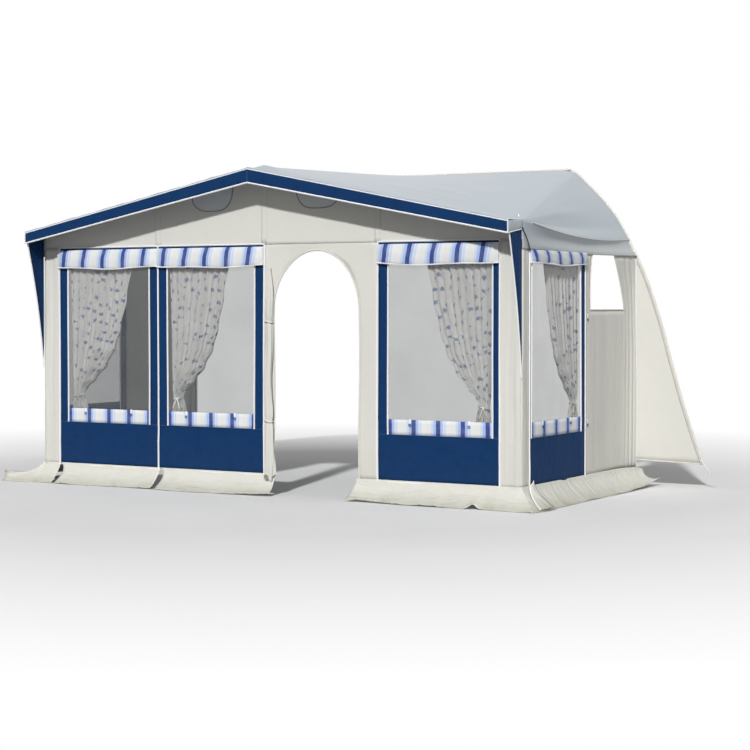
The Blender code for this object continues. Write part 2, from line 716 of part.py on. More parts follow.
def build_skirt_mesh(name, mesh_rows):
    bm = bmesh.new()
    loops = [[bm.verts.new(p) for p in points] for row in mesh_rows for points in row]
    top_outer, top_inner, low_outer, low_inner = loops
    last = len(top_outer) - 1
    for a, b in ((top_outer, low_outer), (low_outer, low_inner), (low_inner, top_inner),
                 (top_inner, top_outer)):
        for i in range(last):
            bm.faces.new((a[i], a[i + 1], b[i + 1], b[i]))
    for i in (0, last):
        bm.faces.new((top_outer[i], low_outer[i], low_inner[i], top_inner[i]))
    finish(bm, name, SKIRT_CLOTH)


def slope_stretch():
    """How much a round tube under the sloping roof drops below its touching line."""
    across = (RIDGE_HEIGHT - EAVES_HEIGHT) / HALF
    along = (RAIL_HEIGHT - EAVES_HEIGHT) / WALL_DEPTH
    return sqrt(1 + across * across + along * along)


def rafter_centre(x):
    """Height of a front rafter's middle line, close under the roof cloth."""
    return roof_height(x, LEG_LINE) - CLOTH - GAP - FRAME_TUBE_RADIUS * slope_stretch()


def build_rafter(side, name):
    start_x, end_x = BRACKET_HALF_WIDTH + GAP, HALF - LEG_INSET + FRAME_TUBE_RADIUS
    start = Vector((side * start_x, LEG_LINE, rafter_centre(start_x)))
    end = Vector((side * end_x, LEG_LINE, rafter_centre(end_x)))
    tube(name, start, end, FRAME_TUBE_RADIUS, BORE_RADIUS, STEEL, cut_normal=Vector((1, 0, 0)))


def bracket_top():
    return rafter_centre(BRACKET_HALF_WIDTH) + FRAME_TUBE_RADIUS


def build_apex_bracket():
    """Cast block that joins the rafters, the ridge pole and the centre leg."""
    top = bracket_top()
    chamfer = BRACKET_HALF_WIDTH / 4
    low = top - BRACKET_HEIGHT
    outline = [(-BRACKET_HALF_WIDTH, low + chamfer), (-BRACKET_HALF_WIDTH + chamfer, low),
               (BRACKET_HALF_WIDTH - chamfer, low), (BRACKET_HALF_WIDTH, low + chamfer),
               (BRACKET_HALF_WIDTH, top), (-BRACKET_HALF_WIDTH, top)]
    prism("apex_bracket", outline, "Y", LEG_LINE - BRACKET_HALF_DEPTH,
          LEG_LINE + BRACKET_HALF_DEPTH, BLACK_PLASTIC)


def leg_tube_top(x):
    if x == 0:
        return bracket_top() - BRACKET_HEIGHT - GAP
    outermost = abs(x) + FRAME_TUBE_RADIUS
    slope = (rafter_centre(0) - rafter_centre(HALF)) / HALF
    return rafter_centre(outermost) - FRAME_TUBE_RADIUS * hypot(1, slope) - GAP


def build_leg(suffix, x):
    """Telescopic front leg: upper tube with its collar, extension with its foot, knob."""
    centre = Vector((x, LEG_LINE, 0))
    top = leg_tube_top(x)
    collar_top = COLLAR_FLOOR + COLLAR_HEIGHT
    lathe(f"leg_tube_{suffix}", centre,
          [(BORE_RADIUS, COLLAR_FLOOR), (COLLAR_RADIUS, COLLAR_FLOOR), (COLLAR_RADIUS, collar_top),
           (FRAME_TUBE_RADIUS, collar_top), (FRAME_TUBE_RADIUS, top), (BORE_RADIUS, top)], STEEL)
    inner = EXTENSION_RADIUS - FRAME_TUBE_WALL
    extension_top = COLLAR_FLOOR + EXTENSION_LAP
    extension = lathe(f"leg_extension_{suffix}", centre,
                      [(0, 0), (FOOT_RADIUS, 0), (FOOT_RADIUS, FOOT_THICKNESS),
                       (EXTENSION_RADIUS, FOOT_THICKNESS), (EXTENSION_RADIUS, extension_top),
                       (inner, extension_top), (inner, FOOT_THICKNESS), (0, FOOT_THICKNESS)], STEEL)
    set_origin(extension, Vector((x, LEG_LINE, COLLAR_FLOOR)))
    build_knob(suffix, x)


def build_knob(suffix, x):
    face = LEG_LINE + COLLAR_RADIUS + GAP
    middle = COLLAR_FLOOR + COLLAR_HEIGHT / 2
    outline = []
    for k in range(KNOB_POINTS):
        angle = 2 * pi * k / KNOB_POINTS
        reach = KNOB_RADIUS * (1 + KNOB_LOBE_SHARE * cos(KNOB_LOBES * angle))
        outline.append((x + reach * sin(angle), middle + reach * cos(angle)))
    knob = prism(f"clamp_knob_{suffix}", outline, "Y", face, face + KNOB_DEPTH, BLACK_PLASTIC)
    set_origin(knob, Vector((x, face, middle)))


def ridge_pole_centre(y):
    return ridge_height(roof_share(y)) - CLOTH - GAP - FRAME_TUBE_RADIUS * slope_stretch()


def build_ridge_pole():
    """Telescopic pole from the apex bracket back to the rail."""
    front = LEG_LINE + BRACKET_HALF_DEPTH + GAP
    joint = front + (REAR - front) * POLE_OUTER_SHARE
    cut = Vector((0, 1, 0))
    points = [Vector((0, y, ridge_pole_centre(y))) for y in (front, joint, joint - POLE_LAP, REAR)]
    tube("ridge_pole_outer", points[0], points[1], FRAME_TUBE_RADIUS, BORE_RADIUS, STEEL,
         cut_normal=cut)
    inner = tube("ridge_pole_inner", points[2], points[3], EXTENSION_RADIUS,
                 EXTENSION_RADIUS - FRAME_TUBE_WALL, STEEL, cut_normal=cut)
    set_origin(inner, points[1])


def build_roof_pole(side, name):
    """Pole from a front corner back to the rail, just under the roof's diagonal crease."""
    front = LEG_LINE + FRAME_TUBE_RADIUS + GAP
    ends = []
    for y in (front, REAR):
        edge_x, edge_z = roof_edge(roof_share(y))
        x = edge_x - POLE_EDGE_INSET - POLE_RADIUS
        z = edge_z - CLOTH - POLE_EDGE_DROP - POLE_RADIUS
        ends.append(Vector((side * x, y, z)))
    tube(name, ends[0], ends[1], POLE_RADIUS, POLE_RADIUS - FRAME_TUBE_WALL, STEEL,
         cut_normal=Vector((0, 1, 0)))


def build_canopy_hoop():
    """Bar that holds up the canopy's front edge, with arms back to the gable."""
    y = CANOPY_FRONT + HOOP_SETBACK
    drop = CLOTH + GAP + HOOP_RADIUS * slope_stretch()
    end_x = HALF - CLOTH - GAP
    bm = bmesh.new()
    rings = []
    for x in (-end_x, 0, end_x):
        ring = []
        for k in range(ROD_SIDES):
            angle = 2 * pi * k / ROD_SIDES
            ring.append(bm.verts.new((x, y + HOOP_RADIUS * cos(angle),
                                      canopy_height(x, y) - drop + HOOP_RADIUS * sin(angle))))
        rings.append(ring)
    bm.faces.new(rings[0])
    bm.faces.new(rings[-1][::-1])
    for near, far in zip(rings, rings[1:]):
        for k in range(ROD_SIDES):
            m = (k + 1) % ROD_SIDES
            bm.faces.new((near[m], near[k], far[k], far[m]))
    hoop = finish(bm, "canopy_hoop", STEEL, smooth=True)
    arms = []
    for number, x in enumerate((-CORNER_LEG_X, 0, CORNER_LEG_X)):
        level = canopy_height(x, y) - drop
        arms.append(tube(f"hoop_arm_{number}", Vector((x, y, level)), Vector((x, FRONT - GAP, level)),
                         HOOP_ARM_RADIUS, 0, STEEL, Vector((0, 1, 0)), ROD_SIDES))
    union(hoop, arms)


def build_rear_upright(side, suffix):
    """Rear upright with a round foot and a pad that presses on the caravan's wall."""
    x = side * (HALF - LEG_INSET)
    y = REAR - FOOT_RADIUS
    centre = Vector((x, y, 0))
    top = VALANCE_HEIGHT - UPRIGHT_TOP_DROP
    upright = lathe(f"rear_upright_{suffix}", centre,
                    [(0, 0), (FOOT_RADIUS, 0), (FOOT_RADIUS, FOOT_THICKNESS),
                     (FRAME_TUBE_RADIUS, FOOT_THICKNESS), (FRAME_TUBE_RADIUS, top),
                     (BORE_RADIUS, top), (BORE_RADIUS, FOOT_THICKNESS), (0, FOOT_THICKNESS)], STEEL)
    pad_outer = HALF - FLAP_SEAM_LAP - GAP
    pad_near = ROOF_REAR - PAD_DEPTH
    outline = [(side * (pad_outer - PAD_WIDTH), PAD_LEVEL - PAD_HEIGHT / 2),
               (side * pad_outer, PAD_LEVEL - PAD_HEIGHT / 2),
               (side * pad_outer, PAD_LEVEL + PAD_HEIGHT / 2),
               (side * (pad_outer - PAD_WIDTH), PAD_LEVEL + PAD_HEIGHT / 2)]
    pad = prism(f"pad_{suffix}", outline, "Y", pad_near, ROOF_REAR, BLACK_PLASTIC)
    arm_start = Vector((x, y, PAD_LEVEL))
    arm_end = Vector((x, pad_near + PAD_DEPTH / 2, PAD_LEVEL))
    arm = tube(f"pad_arm_{suffix}", arm_start + Vector((0, BORE_RADIUS, 0)), arm_end,
               HOOP_RADIUS, 0, STEEL, Vector((0, 1, 0)), ROD_SIDES)
    union(upright, [arm, pad])


for side, suffix in ((-1, "left"), (1, "right")):
    build_roof(side, f"roof_{suffix}")
    build_roof_corner(side, f"roof_corner_{suffix}")
    build_wing(side, f"wing_{suffix}")
    build_wall_corner(side, f"wall_corner_{suffix}")
    build_flap(side, f"rear_flap_{suffix}")
    build_rafter(side, f"rafter_{suffix}")
    build_roof_pole(side, f"roof_pole_{suffix}")
    build_rear_upright(side, suffix)
    build_side_skirt(f"skirt_side_{suffix}", side)
    build_side_wall(side, suffix, half_door_open=(side == 1))

build_fascia()
build_gable()
build_front_window(1, 0, STILE_WIDTH, gathered_left=True)
build_front_window(2, 1, STILE_WIDTH, gathered_left=True)
build_front_window(3, 3, END_STILE_WIDTH, gathered_left=False)
build_door_panel()
build_door_roll()
build_front_skirt("skirt_front_left", -1, bay_edges(2)[0] + DOOR_POST_LEFT)
build_front_skirt("skirt_front_right", 1, bay_edges(2)[1] - DOOR_POST_RIGHT - SKIRT_DOOR_LAP)
build_bead()
build_apex_bracket()
build_ridge_pole()
build_canopy_hoop()
for leg_suffix, leg_x in (("left", -CORNER_LEG_X), ("centre", 0), ("right", CORNER_LEG_X)):
    build_leg(leg_suffix, leg_x)
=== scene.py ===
from math import atan2, cos, exp, hypot, pi, radians, sin
import bpy
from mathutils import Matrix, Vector, noise


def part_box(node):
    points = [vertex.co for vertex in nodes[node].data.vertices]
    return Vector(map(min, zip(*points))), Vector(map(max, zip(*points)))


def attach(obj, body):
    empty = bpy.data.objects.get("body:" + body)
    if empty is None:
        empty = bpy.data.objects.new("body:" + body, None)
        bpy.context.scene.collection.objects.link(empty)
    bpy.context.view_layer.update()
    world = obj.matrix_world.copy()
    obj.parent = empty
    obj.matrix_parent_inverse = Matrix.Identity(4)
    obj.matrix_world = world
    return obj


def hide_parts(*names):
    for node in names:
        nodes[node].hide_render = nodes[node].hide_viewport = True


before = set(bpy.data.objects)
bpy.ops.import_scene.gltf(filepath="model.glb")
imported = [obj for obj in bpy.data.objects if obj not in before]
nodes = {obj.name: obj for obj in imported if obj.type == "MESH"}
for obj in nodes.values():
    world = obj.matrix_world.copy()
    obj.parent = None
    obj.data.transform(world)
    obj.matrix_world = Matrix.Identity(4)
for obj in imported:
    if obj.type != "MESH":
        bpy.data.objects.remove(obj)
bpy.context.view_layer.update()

# Places of the awning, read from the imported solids
gableLow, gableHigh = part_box("gable_panel")
roofLow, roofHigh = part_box("roof_right")
flapLow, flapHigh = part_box("rear_flap_right")
panelLow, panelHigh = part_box("window_panel_1")
fasciaLow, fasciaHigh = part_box("canopy_fascia")
clothGap = 0.0033  # thickness of a solid cloth and the gap to the next one
clothSolid = 0.003
onEdge = 0.0005  # how close a solid's point lies to the edge that it is on
half = gableHigh.x
front = gableLow.y
rear = roofHigh.y
canopyFront = roofLow.y
ridge = gableHigh.z + clothGap
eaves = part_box("wing_right")[1].z + clothGap
canopyRidge = fasciaHigh.z
canopyEaves = roofLow.z + clothSolid
rail = roofHigh.z
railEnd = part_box("roof_corner_right")[0].x
seamHeight = panelHigh.z
baseHeight = panelLow.z
valance = flapHigh.z
bayJoints = [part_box(name)[0].x
             for name in ("window_panel_1", "window_panel_2", "door_panel", "window_panel_3")]
bayJoints.append(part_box("window_panel_3")[1].x)
sides = ((-1, "left"), (1, "right"))


# Small tools for modelling

def between(a, b, share):
    return a + (b - a) * share


def clamp(share):
    return min(1.0, max(0.0, share))


def ease(share):
    return share * share * (3 - 2 * share)


def bow(share):
    return 4 * share * (1 - share)  # 1 in the middle, 0 at both ends


def bell(distance, width):
    return exp(-(distance / width) ** 2)


def spread(low, high, count):
    return [low + (high - low) * k / count for k in range(count + 1)]


def steps(low, high, size):
    return spread(low, high, max(1, round((high - low) / size)))


def lines(stops, size):
    # grid lines that hold every stop
    found = [stops[0]]
    for a, b in zip(stops, stops[1:]):
        found += steps(a, b, size)[1:]
    return found


def arc(centre, across, up, count, parts):
    # count points round a centre, each a part of the turn from across to up further on
    turns = [2 * pi * k / parts for k in range(count)]
    return [centre + across * cos(turn) + up * sin(turn) for turn in turns]


def softNoise(x, y, seed, scale=1.0):
    return noise.noise(Vector((x * scale, y * scale, seed)))


def deselect():
    if bpy.context.mode != "OBJECT":
        bpy.ops.object.mode_set(mode="OBJECT")
    bpy.ops.object.select_all(action="DESELECT")


def pick(piece):
    deselect()
    piece.select_set(True)
    bpy.context.view_layer.objects.active = piece
    return piece


def applyModifier(piece, kind, **settings):
    bpy.context.view_layer.objects.active = piece
    modifier = piece.modifiers.new(kind.title(), kind)
    for name, value in settings.items():
        setattr(modifier, name, value)
    bpy.ops.object.modifier_apply(modifier=modifier.name)


def editAll(piece, *stages):
    # runs edit-mode operators on the whole piece; a stage is (operator, settings)
    pick(piece)
    bpy.ops.object.mode_set(mode="EDIT")
    bpy.ops.mesh.select_all(action="SELECT")
    for operator, settings in stages:
        operator(**settings)
    bpy.ops.object.mode_set(mode="OBJECT")


def cutAway(piece, inside):
    # deletes the faces whose middle is inside
    bpy.ops.object.mode_set(mode="EDIT")
    bpy.ops.mesh.select_all(action="DESELECT")
    bpy.ops.object.mode_set(mode="OBJECT")
    for face in piece.data.polygons:
        face.select = inside(face.center)
    bpy.ops.object.mode_set(mode="EDIT")
    bpy.ops.mesh.select_mode(type="FACE")
    bpy.ops.mesh.delete(type="FACE")
    bpy.ops.mesh.select_mode(type="VERT")
    bpy.ops.object.mode_set(mode="OBJECT")


def placedGrid(name, rows, closed=False):
    # a grid drawn through rows of points; a closed one comes back to its first column
    deselect()
    columns, levels = len(rows[0]) - (not closed), len(rows) - 1
    bpy.ops.mesh.primitive_grid_add(x_subdivisions=columns, y_subdivisions=levels, size=1)
    piece = bpy.context.object
    piece.name = piece.data.name = name
    for vertex in piece.data.vertices:
        column = round((vertex.co.x + 0.5) * columns)
        level = round((vertex.co.y + 0.5) * levels)
        vertex.co = rows[level][column % len(rows[0])]
    return piece


def gridSheet(name, rows, size, flip=False, thickness=0.0012, cut=None):
    # one sheet of cloth through rows of points; its UV map is in metres, from its size or from its place
    piece = placedGrid(name, rows)
    for loop, mapped in zip(piece.data.loops, piece.data.uv_layers.active.data):
        if callable(size):
            mapped.uv = size(piece.data.vertices[loop.vertex_index].co)
        else:
            mapped.uv = (mapped.uv[0] * size[0], mapped.uv[1] * size[1])
    if cut:
        cutAway(piece, cut)
    if flip:
        editAll(piece, (bpy.ops.mesh.flip_normals, {}))
    pick(piece)
    bpy.ops.object.shade_smooth()
    if thickness:
        applyModifier(piece, "SOLIDIFY", thickness=thickness, offset=-1)
    return piece


def loft(name, rings, uvAt=lambda around, along: (around, along)):
    # closed skin through rings of points, with both ends filled
    piece = placedGrid(name, rings, closed=True)
    for mapped in piece.data.uv_layers.active.data:
        mapped.uv = uvAt(mapped.uv[0], mapped.uv[1])
    editAll(piece, (bpy.ops.mesh.remove_doubles, {"threshold": 0.00002}),
            (bpy.ops.mesh.fill_holes, {"sides": 0}),
            (bpy.ops.mesh.normals_make_consistent, {"inside": False}))
    pick(piece)
    bpy.ops.object.shade_smooth_by_angle(angle=radians(60))
    return piece


def tubeAlong(name, points, radius, sides=8):
    # round cord, piping or webbing through the points
    deselect()
    bpy.ops.curve.primitive_nurbs_path_add()
    line = bpy.context.object
    line.data.splines.clear()
    spline = line.data.splines.new("POLY")
    spline.points.add(len(points) - 1)
    for target, point in zip(spline.points, points):
        target.co = (*point, 1)
    line.data.bevel_depth = radius
    line.data.bevel_resolution = max(0, sides // 4 - 1)
    line.data.use_fill_caps = True
    bpy.ops.object.convert(target="MESH")
    piece = bpy.context.object
    piece.name = piece.data.name = name
    editAll(piece, (bpy.ops.mesh.remove_doubles, {"threshold": 0.00005}),
            (bpy.ops.mesh.normals_make_consistent, {"inside": False}))
    bpy.ops.object.shade_smooth_by_angle(angle=radians(50))
    return piece


def joined(name, pieces):
    deselect()
    for piece in pieces:
        piece.select_set(True)
    bpy.context.view_layer.objects.active = pieces[0]
    bpy.ops.object.join()
    pieces[0].name = pieces[0].data.name = name
    return pieces[0]


def smoothLine(points, count):
    # evenly spaced points on a smooth curve through the given ones
    given = [Vector(p) for p in points]
    ends = [2 * given[0] - given[1], *given, 2 * given[-1] - given[-2]]
    fine = []
    for a, b, c, d in zip(ends, ends[1:], ends[2:], ends[3:]):
        for t in spread(0, 1, 12)[:-1]:
            fine.append((2 * b + (c - a) * t + (2 * a - 5 * b + 4 * c - d) * t * t
                         + (3 * b - a - 3 * c + d) * t ** 3) / 2)
    fine.append(given[-1])
    travelled = [0.0]
    for a, b in zip(fine, fine[1:]):
        travelled.append(travelled[-1] + (b - a).length)
    line, i = [], 0
    for goal in spread(0, travelled[-1], count - 1):
        while i < len(fine) - 2 and travelled[i + 1] < goal:
            i += 1
        share = (goal - travelled[i]) / max(travelled[i + 1] - travelled[i], 1e-9)
        line.append(fine[i].lerp(fine[i + 1], min(1.0, share)))
    return line


def readLine(points, value):
    # height of a broken line at a place: points are (place, height), places rising
    for (a, heightA), (b, heightB) in zip(points, points[1:]):
        if value <= b:
            return between(heightA, heightB, ease(clamp((value - a) / (b - a))))
    return points[-1][1]


def areaOf(rows, flat=None, opening=0.0):
    # area of a sheet less its opening, at most that of its flat size
    total = -opening
    for low, high in zip(rows, rows[1:]):
        for a, b, c, d in zip(low, low[1:], high[1:], high):
            a, b, c, d = Vector(a), Vector(b), Vector(c), Vector(d)
            total += ((b - a).cross(c - a).length + (c - a).cross(d - a).length) / 2
    return min(total, flat[0] * flat[1]) if flat else total


def dress(piece, material, body="awning", replaces=()):
    # finish, body and the solids that the piece stands for
    piece.data.materials.clear()
    piece.data.materials.append(material)
    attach(piece, body)
    if replaces:
        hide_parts(*replaces)
    return piece


def cloth(name, rows, size, material, flat, restsOn, held="stretched", area=None, slot=None, replaces=(),
          **settings):
    # a dressed sheet; the flat size that it was cut to and what holds it are not used
    sheet = dress(gridSheet(name, rows, size, **settings), material, replaces=replaces)
    return sheet


def trim(name, points, radius, material):
    # piping, welt, edging or tie through the points
    return dress(tubeAlong(name, points, radius), material)


# Shader tools and the groups that several finishes use


def addNode(tree, kind, inputs=None, **settings):
    # a shader node; its inputs are values or other nodes' outputs
    made = tree.nodes.new("ShaderNode" + kind)
    for name, value in settings.items():
        setattr(made, name, value)
    for name, value in (inputs or {}).items():
        if isinstance(value, bpy.types.NodeSocket):
            tree.links.new(value, made.inputs[name])
        else:
            made.inputs[name].default_value = value
    return made.outputs


def maths(tree, operation, a, b=0.0, clamp=False):
    return addNode(tree, "Math", {0: a, 1: b}, operation=operation, use_clamp=clamp)[0]


def vectorMaths(tree, operation, a, b=(0, 0, 0)):
    return addNode(tree, "VectorMath", {0: a, 1: b}, operation=operation)


def partsOf(tree, vector):
    return addNode(tree, "SeparateXYZ", {0: vector})


def noiseOf(tree, vector, scale, detail=2.0, roughness=0.5, distortion=0.0):
    return addNode(tree, "TexNoise",
                   {"Vector": vector, "Scale": scale, "Detail": detail, "Roughness": roughness,
                                      "Distortion": distortion})[0]


def solid(colour):
    return (*colour, 1) if isinstance(colour, tuple) else colour


def mixColour(tree, factor, a, b):
    return addNode(tree, "Mix", {0: factor, 6: solid(a), 7: solid(b)}, data_type="RGBA")[2]


def ramp(tree, factor, stops):
    made = addNode(tree, "ValToRGB", {0: factor})[0]
    elements = made.node.color_ramp.elements
    while len(elements) < len(stops):
        elements.new(1.0)
    for element, (position, colour) in zip(elements, stops):
        element.position = position
        element.color = solid(colour)
    return made


def newGroup(name, inputs, outputs):
    tree = bpy.data.node_groups.new(name, "ShaderNodeTree")
    for title, kind, value in inputs:
        socket = tree.interface.new_socket(title, in_out="INPUT", socket_type="NodeSocket" + kind)
        if value is not None:
            socket.default_value = value
    for title in outputs:
        tree.interface.new_socket(title, in_out="OUTPUT", socket_type="NodeSocketFloat")
    return tree, tree.nodes.new("NodeGroupInput").outputs, tree.nodes.new("NodeGroupOutput").inputs


def makeWeaveGroup():
    # crossing yarns: Height for a bump, Tone for the colour's small unevenness
    tree, given, result = newGroup("clothWeave", [("Vector", "Vector", None), ("Yarns", "Float", 900.0)],
                                   ["Height", "Tone"])
    waves = [maths(tree, "SINE", maths(tree, "MULTIPLY", part, given["Yarns"]))
             for part in partsOf(tree, given["Vector"])[:2]]
    crossing = maths(tree, "MULTIPLY", *waves)
    slub = noiseOf(tree, given["Vector"], 14.0, 5.0, 0.62)
    tree.links.new(maths(tree, "ADD", maths(tree, "MULTIPLY", crossing, 0.5), slub), result["Height"])
    tree.links.new(slub, result["Tone"])
    return tree


def makeSoilGroup():
    # dust and splashes: more near the ground, blotchy, as a mask
    tree, given, result = newGroup("clothSoil", [("Vector", "Vector", None), ("Reach", "Float", 0.35),
                                                 ("Amount", "Float", 0.5)], ["Mask"])
    height = partsOf(tree, given["Vector"])[2]
    low = maths(tree, "SUBTRACT", 1.0, maths(tree, "DIVIDE", height, given["Reach"]), clamp=True)
    blotch = noiseOf(tree, given["Vector"], 5.0, 6.0, 0.7)
    spots = maths(tree, "MULTIPLY", maths(tree, "POWER", low, 1.6), blotch)
    faint = maths(tree, "MULTIPLY", maths(tree, "SUBTRACT", blotch, 0.52, clamp=True), 0.6)
    mask = maths(tree, "MULTIPLY", maths(tree, "ADD", spots, faint), given["Amount"], clamp=True)
    tree.links.new(mask, result["Mask"])
    return tree


def makeCreaseGroup():
    # fine creases of folded coated cloth, in two directions
    tree, given, result = newGroup("clothCreases", [("Vector", "Vector", None), ("Scale", "Float", 1.6)],
                                   ["Height"])
    creases = []
    for turn, squeeze in ((0.6, 5.0), (-0.9, 7.0)):
        mapped = addNode(tree, "Mapping", {"Vector": given["Vector"], "Rotation": (0, 0, turn),
                                           "Scale": (1.0, squeeze, 1.0)})[0]
        ridges = noiseOf(tree, mapped, given["Scale"], 4.0, 0.5, 0.4)
        centred = maths(tree, "MULTIPLY", maths(tree, "ABSOLUTE", maths(tree, "SUBTRACT", ridges, 0.5)), 5.0)
        creases.append(maths(tree, "POWER", maths(tree, "SUBTRACT", 1.0, centred, clamp=True), 3.0))
    tree.links.new(maths(tree, "ADD", *creases), result["Height"])
    return tree


def makeGrainGroup():
    # fine grain and scuffs of moulded plastic and metal
    tree, given, result = newGroup("surfaceGrain", [("Vector", "Vector", None), ("Scale", "Float", 240.0)],
                                   ["Height", "Scuff"])
    tree.links.new(noiseOf(tree, given["Vector"], given["Scale"], 3.0), result["Height"])
    scuff = noiseOf(tree, given["Vector"], 22.0, 7.0, 0.7)
    tree.links.new(maths(tree, "SUBTRACT", scuff, 0.4, clamp=True), result["Scuff"])
    return tree


weaveGroup = makeWeaveGroup()
soilGroup = makeSoilGroup()
creaseGroup = makeCreaseGroup()
grainGroup = makeGrainGroup()


def newMaterial(name, slot, roughness, **sockets):
    material = bpy.data.materials.new(name)
    material.use_nodes = True
    shader = material.node_tree.nodes["Principled BSDF"]
    shader.inputs["Roughness"].default_value = roughness
    for socket, value in sockets.items():
        shader.inputs[socket.replace("_", " ")].default_value = value
    return material, material.node_tree, shader


def coordinates(tree, output="Object"):
    return addNode(tree, "TexCoord")[output]


def bump(tree, shader, height, strength, distance, under=None):
    inputs = {"Height": height, "Strength": strength, "Distance": distance}
    if under:
        inputs["Normal"] = under
    normal = addNode(tree, "Bump", inputs)[0]
    tree.links.new(normal, shader.inputs["Normal"])
    return normal


def roofPaint(tree, inSpace):
    # blue-grey roof that turns warmer down its side valances
    share = maths(tree, "DIVIDE", partsOf(tree, inSpace)[2], ridge)
    return ramp(tree, share,
                [(roofLook["lowShare"], roofLook["low"]), (roofLook["highShare"], roofLook["colour"])])


def clothMaterial(name, slot, look):
    # woven, coated cloth: base colour, uneven dye, weave, creases and soil
    material, tree, shader = newMaterial(name, slot, look["roughness"], Specular_IOR_Level=look["gloss"],
                                         Sheen_Weight=look["sheen"])
    inSpace, onCloth = coordinates(tree), coordinates(tree, "UV")
    weave = addNode(tree, "Group", {"Vector": onCloth, "Yarns": look["yarns"]}, node_tree=weaveGroup)
    soil = addNode(tree, "Group", {"Vector": inSpace, "Reach": look["soilReach"], "Amount": look["soil"]},
                   node_tree=soilGroup)
    colour = look["paint"](tree, onCloth) if "paint" in look else look["colour"]
    colour = look["shading"](tree, inSpace) if "shading" in look else colour
    shade = maths(tree, "MULTIPLY", maths(tree, "SUBTRACT", weave["Tone"], 0.45), look["uneven"], clamp=True)
    colour = mixColour(tree, shade, colour, look["dark"])
    colour = mixColour(tree, soil["Mask"], colour, look["soilColour"])
    tree.links.new(colour, shader.inputs["Base Color"])
    creases = addNode(tree, "Group", {"Vector": inSpace, "Scale": look["creaseScale"]}, node_tree=creaseGroup)
    under = bump(tree, shader, creases["Height"], look["crease"], 0.004)
    bump(tree, shader, weave["Height"], look["weave"], 0.0006, under)
    return material


canvasLook = {"roughness": 0.72, "gloss": 0.35, "yarns": 1500.0, "soil": 0.35, "soilReach": 0.5,
              "colour": (0.70, 0.69, 0.64), "dark": (0.62, 0.61, 0.56), "soilColour": (0.42, 0.39, 0.32),
              "uneven": 0.6, "crease": 0.3, "creaseScale": 1.1, "weave": 0.25, "sheen": 0.08}
navyLook = {**canvasLook, "colour": (0.005, 0.036, 0.122), "dark": (0.003, 0.022, 0.080), "gloss": 0.10,
            "roughness": 0.62, "soilColour": (0.05, 0.075, 0.12), "soil": 0.3, "uneven": 1.6, "sheen": 0.0,
            "crease": 0.85, "creaseScale": 1.2}
roofLook = {**canvasLook, "colour": (0.392, 0.453, 0.507), "dark": (0.35, 0.41, 0.46), "roughness": 0.30,
            "gloss": 0.5, "crease": 0.14, "creaseScale": 0.8, "weave": 0.04, "soil": 0.2, "sheen": 0.0,
            "soilReach": 0.1, "low": (0.47, 0.485, 0.455), "lowShare": 0.715, "highShare": 0.79,
            "shading": roofPaint}
skirtLook = {**canvasLook, "colour": (0.69, 0.68, 0.62), "dark": (0.58, 0.56, 0.50), "roughness": 0.46,
             "gloss": 0.5, "soil": 0.9, "soilReach": 0.10, "soilColour": (0.26, 0.26, 0.15), "crease": 0.7,
             "creaseScale": 3.0, "weave": 0.1, "sheen": 0.0}
ventLook = {**canvasLook, "colour": (0.70, 0.72, 0.73), "dark": (0.56, 0.58, 0.59), "yarns": 2600.0,
            "weave": 0.6}
beigeCanvas = clothMaterial("beigeCanvas", "canvas", canvasLook)
navyCanvas = clothMaterial("navyCanvas", "navy_canvas", navyLook)
roofCloth = clothMaterial("roofCloth", "roof_cloth", roofLook)
skirtCloth = clothMaterial("skirtCloth", "skirt_cloth", skirtLook)
ventMesh = clothMaterial("ventMesh", "canvas", ventLook)

stripes = {"period": 0.196, "phase": 0.10, "white": (0.80, 0.81, 0.84), "cream": (0.78, 0.79, 0.77),
           "light": (0.40, 0.50, 0.83), "pale": (0.60, 0.70, 0.82), "navy": (0.035, 0.065, 0.24),
           "edges": ((0.0, "cream"), (0.13, "cream"), (0.17, "pale"), (0.22, "pale"), (0.27, "light"),
                     (0.345, "light"), (0.36, "navy"), (0.52, "navy"), (0.535, "light"), (0.62, "light"),
                     (0.66, "white"), (0.69, "pale"), (0.74, "pale"), (0.78, "white"), (1.0, "cream"))}


def stripePaint(tree, onCloth):
    # woven stripes across the cloth: navy line, light blue beside it, cream between
    across = maths(tree, "DIVIDE", partsOf(tree, onCloth)[0], stripes["period"])
    share = maths(tree, "FRACT", maths(tree, "ADD", across, stripes["phase"]))
    return ramp(tree, share, [(position, stripes[name]) for position, name in stripes["edges"]])


stripedLook = {**canvasLook, "paint": stripePaint, "dark": (0.62, 0.66, 0.74), "soilColour": (0.5, 0.5, 0.48),
               "soil": 0.15, "uneven": 0.4}
stripedCloth = clothMaterial("stripedCloth", "striped_cloth", stripedLook)

sprigs = {"spacing": 0.078, "scatter": 0.72, "petals": 5.0, "petalDepth": 0.05, "flowerSize": 0.15,
          "leafSize": 0.30, "leafPower": 9.0, "branchScale": 7.0, "branchWidth": 0.016, "branchAmount": 0.4,
          "cloth": (0.88, 0.87, 0.84), "flower": (0.22, 0.26, 0.50), "leaf": (0.46, 0.50, 0.54),
          "branch": (0.60, 0.58, 0.52)}


